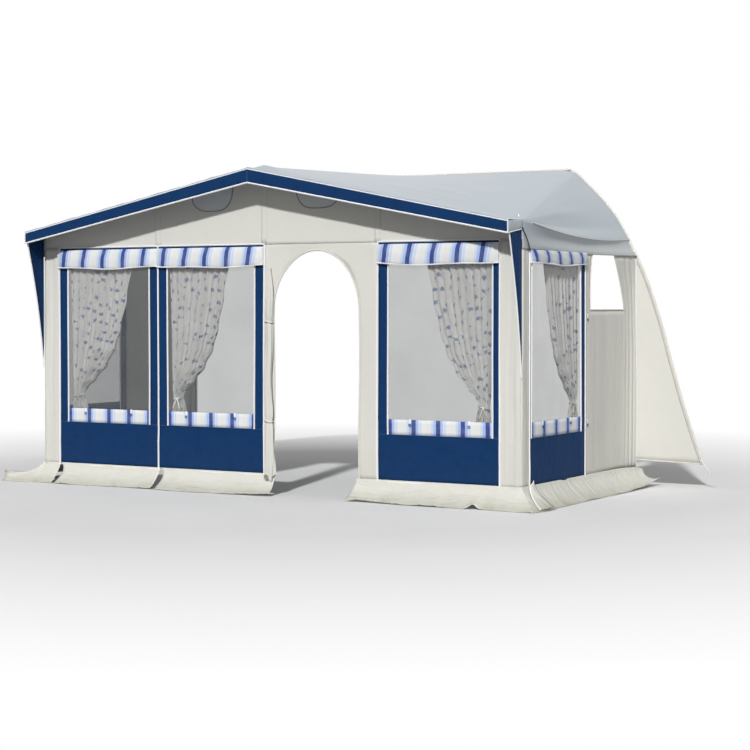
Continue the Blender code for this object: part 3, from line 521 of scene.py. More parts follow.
def sprigPaint(tree, onCloth):
    # small scattered flowers with five petals and two leaves, turned at random, and faint branches
    cells = addNode(tree, "TexVoronoi", {"Vector": onCloth, "Scale": 1 / sprigs["spacing"],
                                         "Randomness": sprigs["scatter"]}, voronoi_dimensions="2D")
    fromMiddle = vectorMaths(tree, "SUBTRACT", onCloth, cells["Position"])[0]
    local = vectorMaths(tree, "MULTIPLY", fromMiddle, (1 / sprigs["spacing"],) * 3)[0]
    x, y = partsOf(tree, local)[:2]
    turn = maths(tree, "MULTIPLY", addNode(tree, "SeparateColor", {0: cells["Color"]})[0], 2 * pi)
    angle = maths(tree, "ADD", maths(tree, "ARCTAN2", y, x), turn)
    reach = vectorMaths(tree, "LENGTH", local)["Value"]
    waves = maths(tree, "COSINE", maths(tree, "MULTIPLY", angle, sprigs["petals"]))
    petals = maths(tree, "ADD", maths(tree, "MULTIPLY", waves, sprigs["petalDepth"]), sprigs["flowerSize"])
    lobes = maths(tree, "POWER", maths(tree, "ABSOLUTE", maths(tree, "COSINE", angle)), sprigs["leafPower"])
    leaf = maths(tree, "LESS_THAN", reach, maths(tree, "MULTIPLY", lobes, sprigs["leafSize"]))
    colour = mixColour(tree, leaf, sprigs["cloth"], sprigs["leaf"])
    colour = mixColour(tree, maths(tree, "LESS_THAN", reach, petals), colour, sprigs["flower"])
    edges = addNode(tree, "TexVoronoi", {"Vector": onCloth, "Scale": sprigs["branchScale"]},
                    feature="DISTANCE_TO_EDGE", voronoi_dimensions="2D")[0]
    branch = maths(tree, "LESS_THAN", edges, sprigs["branchWidth"])
    return mixColour(tree, maths(tree, "MULTIPLY", branch, sprigs["branchAmount"]), colour, sprigs["branch"])


curtainLook = {**canvasLook, "paint": sprigPaint, "dark": (0.80, 0.79, 0.75), "roughness": 0.9, "gloss": 0.1,
               "soil": 0.0, "uneven": 0.5, "weave": 0.5, "crease": 0.5, "creaseScale": 4.0}
curtainCloth = clothMaterial("curtainCloth", "curtain_cloth", curtainLook)

# the film's grey tint and alpha are partly painted shade for the dark inside behind the windows
film = {"dark": (0.10, 0.11, 0.115), "light": (0.16, 0.17, 0.175), "alpha": 0.26, "haze": 0.14, "shade": 0.1}


def filmMaterial():
    # clear window film with a grey tint, faint ripples and dust; the tint is partly the film's own and partly
    # painted shade for the dark inside seen through it; it lets most of the light in
    material, tree, shader = newMaterial("clearFilm", "clear_film", 0.06, Specular_IOR_Level=0.5)
    inSpace = coordinates(tree)
    haze = noiseOf(tree, inSpace, 3.0, 6.0)
    tree.links.new(ramp(tree, haze, [(0.3, film["dark"]), (0.8, film["light"])]), shader.inputs["Base Color"])
    tint = maths(tree, "ADD", maths(tree, "MULTIPLY", haze, film["haze"]), film["alpha"])
    seen = addNode(tree, "LightPath")["Is Camera Ray"]
    share = maths(tree, "ADD", maths(tree, "MULTIPLY", seen, 1 - film["shade"]), film["shade"])
    tree.links.new(maths(tree, "MULTIPLY", tint, share), shader.inputs["Alpha"])
    bump(tree, shader, noiseOf(tree, inSpace, 2.2), 0.35, 0.02)
    return material


def plainMaterial(name, slot, colour, worn, roughness, metallic=0.0, scale=240.0):
    # moulded plastic, coated piping or metal with grain and scuffs
    material, tree, shader = newMaterial(name, slot, roughness, Metallic=metallic)
    grain = addNode(tree, "Group", {"Vector": coordinates(tree), "Scale": scale}, node_tree=grainGroup)
    tree.links.new(mixColour(tree, grain["Scuff"], colour, worn), shader.inputs["Base Color"])
    rough = maths(tree, "ADD", maths(tree, "MULTIPLY", grain["Scuff"], 0.5), roughness)
    tree.links.new(rough, shader.inputs["Roughness"])
    bump(tree, shader, grain["Height"], 0.15, 0.0005)
    return material


clearFilm = filmMaterial()
whitePiping = plainMaterial("whitePiping", "white_piping", (0.93, 0.93, 0.94), (0.80, 0.80, 0.79), 0.42)
steel = plainMaterial("galvanisedSteel", "steel", (0.55, 0.56, 0.58), (0.38, 0.38, 0.39), 0.28, 1.0, 90.0)
blackPlastic = plainMaterial("blackPlastic", "black_plastic", (0.025, 0.025, 0.028), (0.09, 0.09, 0.09), 0.42)
creamEdge = plainMaterial("creamEdging", "canvas", (0.74, 0.72, 0.66), (0.60, 0.58, 0.52), 0.55)
greyWelt = plainMaterial("greyWelt", "canvas", (0.50, 0.49, 0.46), (0.36, 0.35, 0.33), 0.6)
blueWelt = plainMaterial("blueWelt", "navy_canvas", (0.03, 0.09, 0.22), (0.06, 0.12, 0.25), 0.5)
ventEdge = plainMaterial("ventEdge", "canvas", (0.16, 0.16, 0.16), (0.26, 0.26, 0.26), 0.6)
print("finishes ready")


# Camera at the photograph's place, light and floor first

view = {"place": (7.616, -12.265, 1.405), "turn": 30.0, "pitch": -0.89, "lens": 87.78, "sensor": 36,
        "shift": (-0.01727, -0.0536)}
light = {"suns": {"key": ((-0.065, 0.223, -0.145), 2.75, 3.0), "fill": ((-1.0, -0.1, -0.45), 0.4, 50.0)},
         "place": (2, -8, 5), "sky": 0.26}
floor = {"size": 120, "bounce": 0.35, "near": 3.2, "far": 7.5, "dark": 0.84, "pale": 0.87, "mottle": 0.8}


def makeCamera():
    turned = (radians(90 + view["pitch"]), 0, radians(view["turn"]))
    bpy.ops.object.camera_add(location=view["place"], rotation=turned)
    camera = bpy.context.object
    camera.data.lens = view["lens"]
    camera.data.sensor_width = view["sensor"]
    camera.data.shift_x, camera.data.shift_y = view["shift"]
    bpy.context.scene.camera = camera


def makeLight():
    for name, (path, energy, width) in light["suns"].items():
        bpy.ops.object.light_add(type="SUN", location=light["place"])
        lamp = bpy.context.object
        lamp.name = name
        lamp.rotation_euler = Vector(path).to_track_quat("-Z", "Y").to_euler()
        lamp.data.energy = energy
        lamp.data.angle = radians(width)
    world = bpy.context.scene.world or bpy.data.worlds.new("studio")
    bpy.context.scene.world = world
    world.use_nodes = True
    tree = world.node_tree
    tree.nodes.clear()
    ray = addNode(tree, "LightPath")
    clear = maths(tree, "ADD", ray["Is Glossy Ray"], ray["Is Transmission Ray"])
    seen = maths(tree, "ADD", ray["Is Camera Ray"], clear, clamp=True)
    strength = maths(tree, "ADD", maths(tree, "MULTIPLY", seen, 1.0 - light["sky"]), light["sky"])
    back = addNode(tree, "Background", {"Color": (1, 1, 1, 1), "Strength": strength})[0]
    addNode(tree, "OutputWorld", {"Surface": back})
    bpy.context.scene.view_settings.view_transform = "Standard"


def makeFloor():
    deselect()
    bpy.ops.mesh.primitive_plane_add(size=floor["size"], location=(0, 0, 0))
    piece = bpy.context.object
    piece.name = "studio_floor"
    material, tree, shader = newMaterial("paleFloor", None, 0.9, Specular_IOR_Level=0.1)
    inSpace = coordinates(tree)
    mottle = noiseOf(tree, inSpace, floor["mottle"])
    pale = ramp(tree, mottle, [(0.3, (floor["dark"],) * 3), (0.7, (floor["pale"],) * 3)])
    ray = addNode(tree, "LightPath")
    bounced = mixColour(tree, ray["Is Diffuse Ray"], pale, (floor["bounce"],) * 3)
    tree.links.new(bounced, shader.inputs["Base Color"])
    away = maths(tree, "SUBTRACT", vectorMaths(tree, "LENGTH", inSpace)["Value"], floor["near"])
    fade = maths(tree, "DIVIDE", away, floor["far"] - floor["near"], clamp=True)
    white = addNode(tree, "Emission")[0]
    share = maths(tree, "MULTIPLY", fade, ray["Is Camera Ray"])
    blend = addNode(tree, "MixShader", {0: share, 1: shader.outputs[0], 2: white})[0]
    tree.links.new(blend, tree.nodes["Material Output"].inputs["Surface"])
    piece.data.materials.append(material)


makeCamera()
makeLight()
makeFloor()
print("camera, light and floor ready")


# Roof

roof = {"columns": 120, "canopyRows": 8, "thickness": 0.0012, "flat": (5.9, 2.42), "sag": 0.022,
        "slope": 0.21, "ridgeRound": 0.02, "overPole": 0.005, "poleWidth": 0.07, "tip": 0.012,
        "tipWidth": 0.10, "creaseDrop": 0.007, "creaseWidth": 0.07, "ripple": 0.006, "pull": 0.0065,
        "pullCount": 34, "pullReach": 0.9, "pullWidth": 0.6}
# the corner's seam keys below size and place the light tube that paints the highlight of the rolled crease
corner = {"rows": 50, "columns": 60, "valanceRows": 14, "creaseHeight": eaves - 0.07, "arcEnd": 0.02,
          "creaseSag": 0.055, "sagStart": 0.35, "valanceSag": 0.012, "wave": 0.004, "ripple": 0.008,
          "roll": 0.036, "rollShare": 0.80, "tuck": 0.016, "seam": 0.0034, "highlightStart": 4, "seamOut": 0.001}
tape = {"width": 0.028, "thickness": 0.0016, "out": 0.0009, "railOut": 0.001}


def edgeX(y):
    return between(half, railEnd, max(0.0, (y - front) / (rear - front)))


def roofZ(x, y):
    # height of the taut roof: the canopy falls to its front, the main part runs back to the level rail
    if y < front:
        share = (front - y) / (front - canopyFront)
        top, edge = between(ridge, canopyRidge, share), between(eaves, canopyEaves, share)
    else:
        share = (y - front) / (rear - front)
        top, edge = between(ridge, rail, share), between(eaves, rail, share)
    return between(top, edge, abs(x) / edgeX(y))


def creaseDrop(distance):
    return roof["creaseDrop"] * max(0.0, 1 - distance / roof["creaseWidth"]) ** 2


def rearOutline():
    # outer points of the rear edge on the right, from the rail's straight end down to the flap's foot
    found = set()
    for name in ("roof_corner_right", "rear_flap_right"):
        for vertex in nodes[name].data.vertices:
            if vertex.co.y > rear - onEdge:
                found.add((round(vertex.co.x, 4), round(vertex.co.z, 4)))
    found = [p for p in found if p[0] > flapLow.x + 2 * onEdge or p[1] > valance + 2 * onEdge]
    slack = onEdge / 2.5
    reach = clothGap + slack

    def covered(p):
        # an inner point has an outer one just above it and outside it
        return any(q != p and -slack < q[0] - p[0] < reach and -slack < q[1] - p[1] < reach for q in found)

    return sorted((p for p in found if not covered(p)), key=lambda p: -p[1])


rearCurve = rearOutline()
print("rear edge", len(rearCurve), "points")


def reachAt(height):
    for (xa, za), (xb, zb) in zip(rearCurve, rearCurve[1:]):
        if zb <= height <= za:
            return between(xa, xb, (za - height) / max(za - zb, 1e-6))
    return rearCurve[-1][0]


def roofTop():
    # main part of the roof: rounded ridge, slack between the poles, fine pulls towards the front corners
    rows = []
    for y in spread(canopyFront, front, roof["canopyRows"])[:-1] + spread(front, rear, corner["columns"]):
        depth = max(0.0, (y - front) / (rear - front))
        row = []
        for share in spread(-1, 1, roof["columns"]):
            edge = edgeX(y)
            x = edge * share
            inside = sin(pi * min(1.0, abs(share))) * sin(pi * depth)
            reach, turn = hypot(half - abs(x), y - front), atan2(y - front, half - abs(x))
            pulls = sin(turn * roof["pullCount"] + 5 * softNoise(x, y, 6.3, 1.1))
            z = roofZ(x, y) - roof["sag"] * inside
            z -= roof["slope"] * (hypot(x, roof["ridgeRound"]) - abs(x)) * (1 - depth)
            z += roof["overPole"] * bell(x, roof["poleWidth"]) * (1 - depth)
            z += roof["tip"] * bell(hypot(x, y - front), roof["tipWidth"])
            z += roof["ripple"] * inside * softNoise(x, y, 3.1, 2.4)
            z += roof["pull"] * inside * pulls * bell(reach - roof["pullReach"], roof["pullWidth"])
            z -= creaseDrop(edge - abs(x)) * min(1.0, depth * 10)
            row.append((x, y, z))
        rows.append(row)
    return rows


def cornerArc(start, arc, around, share):
    # one row of the rounded corner, from the front corner to its point on the rear edge
    end, crease = Vector((arc[around].x, rear, arc[around].y)), Vector((arc[0].x, rear, arc[0].y))
    low = readLine([(0, 0), (corner["sagStart"], 0), (1, 1)], share)
    belly = ease(max(0.0, (share - corner["rollShare"]) / (1 - corner["rollShare"])))
    row = []
    for along in spread(0, 1, corner["columns"]):
        place = start.lerp(end, along)
        drop = corner["creaseSag"] * bow(along) * low
        place.z -= drop
        place.z -= creaseDrop((place - start.lerp(crease, along)).length) * min(1.0, along * 10)
        ripple = (corner["ripple"] * softNoise(share * 2.3, along * 1.3, 7.7, 2.0)
                  * sin(pi * share) * sin(pi * along))
        bulge = belly * sin(pi * min(0.5, along * 2.5)) * (1 - along ** 6)
        lift = ripple + corner["tuck"] * bulge * (1 - bulge)
        row.append(place + Vector((ripple + corner["roll"] * bulge, 0, lift)))
    return row


def valanceRow(top, down):
    # one row of the valance, tucked in under the roll and waving a little towards its foot
    row = []
    for along, point in zip(spread(0, 1, corner["columns"]), top):
        outer = between(half + clothGap, reachAt(valance), along)
        place = point.lerp(Vector((outer, point.y, valance - corner["valanceSag"] * bow(along))), down)
        place.x -= corner["tuck"] * sin(pi * min(1.0, down * 1.25)) * sin(pi * min(0.5, along * 2.5))
        place.x += corner["wave"] * sin(along * 19 + 1.3) * down * sin(pi * along)
        row.append(place)
    return row


def roofCorner(side):
    # rounded corner from the roof's edge down to the rolled crease, and the valance below it
    upper = [p for p in rearCurve if p[1] > corner["creaseHeight"] + corner["arcEnd"]]
    upper.append((reachAt(corner["creaseHeight"]), corner["creaseHeight"]))
    outline = smoothLine([(x, z, 0) for x, z in upper], corner["rows"] + 1)
    start = Vector((half, front, eaves))
    rows = [cornerArc(start, outline, i, share) for i, share in enumerate(spread(0, 1, corner["rows"]))]
    crease = rows[-1]
    rows += [valanceRow(crease, down) for down in spread(0, 1, corner["valanceRows"])[1:]]
    return [[Vector((side * p.x, p.y, p.z)) for p in row] for row in rows]


def makeRoof():
    # one cloth over the canopy, the main part and both corners
    parts, area = [], 0.0
    for rows, flip in ((roofTop(), False), (roofCorner(-1), False), (roofCorner(1), True)):
        across = sum((Vector(b) - Vector(a)).length for a, b in zip(rows[-1], rows[-1][1:]))
        down = sum((Vector(b[-1]) - Vector(a[-1])).length for a, b in zip(rows, rows[1:]))
        parts.append(gridSheet("part", rows, (across, down), flip=flip, thickness=0))
        area += areaOf(rows)
    sheet = joined("roof_sheet", parts)
    editAll(sheet, (bpy.ops.mesh.remove_doubles, {"threshold": 0.0002}),
            (bpy.ops.mesh.dissolve_degenerate, {}))
    bpy.ops.object.shade_smooth()
    applyModifier(sheet, "SOLIDIFY", thickness=roof["thickness"], offset=-1)
    dress(sheet, roofCloth, replaces=("roof_left", "roof_right", "roof_corner_left", "roof_corner_right"))


def makeRoofTrim():
    # a light cream tube along the rolled crease, a painted highlight of the roll, and the flat tape round the
    # rear edge
    width = tape["width"]
    for side, suffix in sides:
        rows = roofCorner(side)
        out = Vector((side, 0, -1)) * corner["seamOut"]
        crease = [p + out for p in rows[corner["rows"]][corner["highlightStart"]:]]
        # this cream tube is a painted highlight along the roll, not a welded seam
        trim("valance_highlight_" + suffix, crease, corner["seam"], creamEdge)
        out = Vector((side, 0, 1)) * tape["out"]
        rows = [[row[-1].lerp(row[-2], share * width / (row[-1] - row[-2]).length) + out for row in rows]
                for share in (1, 0)]
        cloth("roof_tape_" + suffix, rows, (0.9, width), creamEdge, (areaOf(rows) / width, width),
              ["roof_sheet"], slot="roof_cloth", flip=side < 0, thickness=tape["thickness"])
    rows = [[Vector((x, y, roofZ(x, y) + tape["railOut"])) for x in spread(-railEnd, railEnd, 30)]
            for y in (rear - width, rear - tape["railOut"])]
    cloth("roof_tape_rear", rows, (2 * railEnd, width), creamEdge, (2 * railEnd, width), ["roof_sheet"],
          slot="roof_cloth", thickness=tape["thickness"])


makeRoof()
makeRoofTrim()
print("roof ready")


# Canopy front and ends

band = {"rows": 6, "columns": 160, "wave": 0.0025, "piping": 0.0065, "topPiping": 0.004, "pipeColumns": 40,
        "out": 0.001, "ridgeDepth": 0.097, "seam": 0.002, "seamOut": 0.0012, "thickness": 0.0015,
        "cut": (2 * half * 1.02, 0.087)}
hem = {"columns": 120, "around": 10, "above": 0.0055, "behind": 0.006, "reach": 0.011, "rise": 0.0075,
       "waves": ((0.0018, 14, 0), (0.0015, 37, 1)), "girth": 0.06}
sideBand = {"rows": 6, "columns": 12, "frontDepth": 0.083, "rearDepth": 0.064, "out": 0.0035, "billow": 0.004,
            "wave": 0.002, "above": 0.002, "piping": 0.0036, "cut": (0.222, 0.075)}
wing = {"rows": 40, "columns": 8, "hollow": 0.026, "billow": 0.008, "piping": 0.0055, "inside": 0.0015,
        "behind": 0.0003, "cut": (0.22, 1.09), "area": 0.11}


def canopyTop(x):
    return between(canopyRidge, canopyEaves, abs(x) / half)


def fasciaDepth(x):
    return between(band["ridgeDepth"], canopyEaves - fasciaLow.z, abs(x) / half)


def makeFascia():
    # navy band across the canopy's front with its piping and the seam in its middle
    y = fasciaLow.y + band["out"]
    rows = []
    for down in spread(1, 0, band["rows"]):
        rows.append([(x, y + band["wave"] * down * sin(x * 9.0) * sin(x * 2.3 + 1),
                      canopyTop(x) - fasciaDepth(x) * down)
                     for x in spread(-half, half, band["columns"])])
    cloth("canopy_band", rows, (2 * half, 0.09), navyCanvas, band["cut"], ["canopy_hoop"],
          replaces=("canopy_fascia",), thickness=band["thickness"])
    pipes = []
    for down, radius in ((1, band["piping"]), (0, band["topPiping"])):
        line = [(x, y, canopyTop(x) - fasciaDepth(x) * down - radius * down * 0.5)
                for x in spread(-half, half, band["pipeColumns"])]
        pipes.append(tubeAlong("pipe", line, radius))
    for x in (-half, half):
        ends = [Vector((x, y, canopyEaves)), Vector((x, y, canopyEaves - fasciaDepth(half)))]
        pipes.append(tubeAlong("pipe", ends, band["topPiping"]))
    dress(joined("canopy_piping", pipes), whitePiping)
    y = fasciaLow.y - band["seamOut"]
    trim("band_seam", [(0, y, canopyRidge), (0, y, canopyRidge - fasciaDepth(0))], band["seam"], blueWelt)


def makeCanopyHem():
    # the roof cloth's folded hem, a soft roll on the front edge
    rings = []
    for x in spread(-half, half, hem["columns"]):
        wave = sum(size * sin(x * rate + start) for size, rate, start in hem["waves"])
        centre = Vector((x, canopyFront + hem["behind"], canopyTop(x) + hem["above"] + wave))
        rings.append(arc(centre, Vector((0, hem["reach"], 0)), Vector((0, 0, hem["rise"])), hem["around"],
                         hem["around"]))
    dress(loft("canopy_hem", rings, lambda around, along: (along * 2 * half, around * hem["girth"])),
          roofCloth)


def makeSideBand(side, suffix):
    # the roof cloth hangs down a little over the wing's top
    rows = []
    for down in spread(1, 0, sideBand["rows"]):
        row = []
        for along in spread(0, 1, sideBand["columns"]):
            top = between(canopyEaves, eaves, along) + sideBand["above"]
            depth = between(sideBand["frontDepth"], sideBand["rearDepth"], along)
            out = sideBand["out"] + sideBand["billow"] * sin(pi * down)
            out += sideBand["wave"] * sin(along * 11) * down
            y = between(canopyFront, front, along) - sideBand["above"]
            row.append(Vector((side * (half + out), y, top - depth * down)))
        rows.append(row)
    cloth("canopy_side_band_" + suffix, rows, (0.22, 0.08), roofCloth, sideBand["cut"],
          ["canopy_wing_" + suffix], held="hung", flip=side < 0, thickness=band["thickness"])
    trim("side_band_piping_" + suffix, rows[0], sideBand["piping"], whitePiping)


def makeWing(side, suffix):
    # navy triangle between the wall and the canopy's end, with a hollow piped edge
    low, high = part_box("wing_" + suffix)
    inner, flatX = front - wing["behind"], half - wing["inside"]
    rows, edge = [], []
    for share in spread(0, 1, wing["rows"]):
        z = between(low.z, high.z, share)
        outer = between(canopyFront, inner, 1 - share) + wing["hollow"] * sin(pi * share)
        rows.append([(side * (flatX + wing["billow"] * sin(pi * across) * sin(pi * share)),
                      between(outer, inner, across), z) for across in spread(0, 1, wing["columns"])])
        edge.append((side * flatX, outer, z))
    cloth("canopy_wing_" + suffix, rows, (0.22, 1.08), navyCanvas, wing["cut"], ["canopy_hoop"],
          area=wing["area"], replaces=("wing_" + suffix,), flip=side < 0)
    trim("wing_piping_" + suffix, edge, wing["piping"], whitePiping)


makeFascia()
makeCanopyHem()
for makePiece in (makeWing, makeSideBand):
    for side, suffix in sides:
        makePiece(side, suffix)
print("canopy ready")


# Walls: one way to place a point on the front, right or left wall

zipLine = (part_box("zip_slider")[0].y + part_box("zip_slider")[1].y) / 2
wall = {"ripple": 0.0065, "fold": 0.55, "pull": 0.6, "pullHeight": 0.25, "pullSpread": 0.35, "zipFlat": 0.95,
        "zipWidth": 0.05, "legWidth": 0.075, "footRoom": 0.55, "footFade": 0.1, "sideSeed": 9, "strip": 0.05,
        "piping": 0.0072, "pipingOut": 0.002, "bayPipingOut": 0.003, "edging": 0.0060, "base": 0.004,
        "welt": 0.0028, "weltEnd": 0.03, "grid": 0.045}


def axisOf(side):
    return 0 if side == "front" else 1


def wallUv(side):
    axis = axisOf(side)
    return lambda place: (place[axis], place.z)


def onWall(side, along, out, z):
    # out is the distance in front of the cloth's solid
    if side == "front":
        return Vector((along, front - out, z))
    return Vector(((half + out) * (1 if side == "right" else -1), along, z))


def footRoom(z):
    # cloth doesn't sag inwards where a leg's foot rises past it
    return clamp((wall["footRoom"] - z) / wall["footFade"])


def wallRipple(along, z, side="front"):
    # slack cloth: broad waves, upright folds, and short pulls near the ground
    seed = 0 if side == "front" else wall["sideSeed"]
    slow = softNoise(along * 2.1, z * 0.8, 11 + seed)
    quick = softNoise(along * 6.5, z * 1.3, 23 + seed)
    pulls = softNoise(along * 4 + z * 7, z * 3 - along * 2, 31 + seed)
    pulls *= bell(z - wall["pullHeight"], wall["pullSpread"])
    ripple = wall["ripple"] * (slow + wall["fold"] * quick + wall["pull"] * pulls)
    if side != "front":  # a side wall is flat along its zip
        return ripple * (1 - wall["zipFlat"] * bell(along - zipLine, wall["zipWidth"]))
    return ripple if ripple > 0 else ripple * (1 - exp(-((along / wall["legWidth"]) ** 4)) * footRoom(z))


def onCloth(side, along, out, z):
    # a point on the slack cloth, or out in front of it
    return onWall(side, along, out + wallRipple(along, z, side), z)


def levelRuns(stretches, height):
    return [[(a, height), (b, height)] for a, b in stretches]


def uprightRuns(places, low, high):
    return [[(place, low), (place, high)] for place in places]


def wallPiping(name, side, runs, radius, out=wall["pipingOut"], material=None):
    # runs are broken lines of (along, z) on one wall
    pipes = []
    for run in runs:
        line = []
        for (a, low), (b, high) in zip(run, run[1:]):
            shares = spread(0, 1, max(1, round(hypot(b - a, high - low) / wall["strip"])))[:-1]
            line += [(between(a, b, share), between(low, high, share)) for share in shares]
        pipes.append(tubeAlong("pipe", [onCloth(side, a, out, z) for a, z in [*line, run[-1]]], radius))
    return dress(joined(name, pipes), material or whitePiping)


# Gable with its seams and two vents, and the strips at the corners

gable = {"rows": 26, "columns": 160, "inset": 0.002, "seamRows": 12, "seamOut": 0.0012,
         "seamThickness": 0.0016, "height": 0.572, "inside": 0.001}
vent = {"rows": 10, "columns": 28, "inner": 0.275, "outer": 0.663, "bottom": 2.125, "topGap": 0.045,
        "out": 0.0022, "round": (3.2, 0.45), "slack": 0.8, "length": 0.19, "edging": 0.003, "edgeOut": 0.001}
strip = {"rounding": 0.018, "flatColumns": 12, "roundColumns": 6, "grid": 0.035, "fold": 0.0045,
         "pleat": 0.003, "tuck": 0.02, "tuckHeight": 0.08}


def makeGable():
    # the wall over the bays, with a flat seam above each bay joint
    low = seamHeight - gable["inset"]
    rows = []
    for up in spread(0, 1, gable["rows"]):
        row = []
        for x in spread(-half + gable["inset"], half - gable["inset"], gable["columns"]):
            z = between(low, roofZ(x, front) - clothGap, up)
            row.append(onWall("front", x, wallRipple(x, z) * sin(pi * up) - gable["inside"], z))
        rows.append(row)
    flat = (2 * half, gable["height"])
    cloth("gable_sheet", rows, wallUv("front"), beigeCanvas, flat, ["rafter_left", "rafter_right"],
          area=areaOf(rows, flat), replaces=("gable_panel",))
    for number, x in enumerate(bayJoints[1:4]):
        rows = []
        for up in spread(0, 1, gable["seamRows"]):
            z = between(seamHeight, roofZ(x, front) - clothGap, up)
            rows.append([onWall("front", x + across, gable["seamOut"] + wallRipple(x, z) * sin(pi * up), z)
                         for across in spread(-wall["strip"] / 2, wall["strip"] / 2, 4)])
        cloth(f"gable_seam_{number + 1}", rows, wallUv("front"), beigeCanvas,
              (wall["strip"], rows[-1][0].z - seamHeight), ["gable_sheet"], thickness=gable["seamThickness"])


def makeVent(side, suffix):
    # the D-shaped vent of fine mesh, straight along the roof and round below
    middle, reach = (vent["outer"] + vent["inner"]) / 2, (vent["outer"] - vent["inner"]) / 2
    sharp, blunt = vent["round"]
    rows = []
    for up in spread(0, 1, vent["rows"]):
        row = []
        for across in spread(-1, 1, vent["columns"]):
            x = side * middle + reach * across
            top = roofZ(x, front) - vent["topGap"]
            foot = between(vent["bottom"], top, 1 - (1 - abs(across) ** sharp) ** blunt)
            z = between(foot, top, up)
            row.append(onWall("front", x, vent["out"] + wallRipple(x, z) * vent["slack"], z))
        rows.append(row)
    flat = (2 * reach, vent["length"])
    cloth("gable_vent_" + suffix, rows, wallUv("front"), ventMesh, flat, ["gable_sheet"],
          area=areaOf(rows, flat))
    edge = [p - Vector((0, vent["edgeOut"], 0)) for p in [rows[-1][0], *rows[0], rows[-1][-1]]]
    trim("vent_edging_" + suffix, edge, vent["edging"], ventEdge)


def cornerPlan(width, deep):
    # the strip's way round the corner from above: (across, y, turn)
    rounding, turns = strip["rounding"], spread(0, pi / 2, strip["roundColumns"])[1:]
    plan = [(x, front, 0.0) for x in spread(half - width, half - rounding, strip["flatColumns"])]
    plan += [(half - rounding + rounding * sin(turn), front + rounding - rounding * cos(turn), turn)
             for turn in turns]
    return plan + [(half, y, pi / 2)
                   for y in spread(front + rounding, front + deep, strip["roundColumns"])[1:]]


def makeCorner(side, suffix):
    # beige strip folded round the front corner
    low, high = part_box("wall_corner_" + suffix)
    width, deep = abs(high.x - low.x), high.y - low.y
    plan = cornerPlan(width, deep)
    rows = []
    for z in steps(low.z, seamHeight, strip["grid"]):
        row = []
        for i, (x, y, turn) in enumerate(plan):
            inside = sin(pi * i / (len(plan) - 1))
            fold = strip["fold"] * sin(i * 0.75 + 2.5 * softNoise(side, z, 5.0, 1.1)) * inside
            fold += strip["pleat"] * sin(i * 1.9 + 3.1 * softNoise(side + 4, z, 2.0, 1.7)) * inside
            fold = max(fold, fold * (1 - footRoom(z)))
            tuck = strip["tuck"] * max(0.0, (z - seamHeight) / strip["tuckHeight"] + 1) * sin(turn)
            row.append(Vector((side * (x + fold * sin(turn) - tuck), y - fold * cos(turn), z)))
        rows.append(row)
    cloth("wall_corner_sheet_" + suffix, rows, (0.3, 1.75), beigeCanvas, (width + deep, seamHeight - low.z),
          ["leg_tube_" + suffix], replaces=("wall_corner_" + suffix,), flip=side < 0)


makeGable()
for makePiece in (makeVent, makeCorner):
    for side, suffix in sides:
        makePiece(side, suffix)
weltEnd = half - wall["weltEnd"]
pipedBays = [(bayJoints[0], bayJoints[2]), (bayJoints[3], bayJoints[4])]
plainBays = [(-weltEnd, bayJoints[0]), (bayJoints[2], bayJoints[3]), (bayJoints[4], weltEnd)]
wallPiping("top_seam_piping", "front", levelRuns(pipedBays, seamHeight), wall["piping"])
wallPiping("top_seam_welt", "front", levelRuns(plainBays, seamHeight), wall["welt"], material=greyWelt)
print("gable and corners ready")


# Window bays of the three walls

window = {"grid": 0.03, "bandHeight": 0.11, "bandOut": 0.0018, "bandColumns": 32, "bandRows": 4,
          "stripeStart": 0.05, "filmGrid": 0.04, "filmIn": 0.0014, "filmThickness": 0.0005,
          "pipingShare": 0.9, "welt": 0.0016, "toggleShares": (0.22, 0.78), "toggleDrop": 0.006}
toggle = {"width": 0.018, "length": 0.036, "above": 0.010, "out": 0.002, "bulge": 0.002, "thickness": 0.0016,
          "ring": 0.0085, "ringDrop": 0.032, "ringOut": 0.003, "wire": 0.0026}
cover = {"columns": 72, "around": 22, "squareness": 0.62, "taper": 0.45, "taperWidth": 0.03, "swell": 0.10,
         "sag": 0.012, "crease": 0.0025, "out": 0.0016, "hem": 0.0065, "hemOut": 0.002, "bend": -0.024,
         "sideBend": 0.034, "wobble": 0.002}


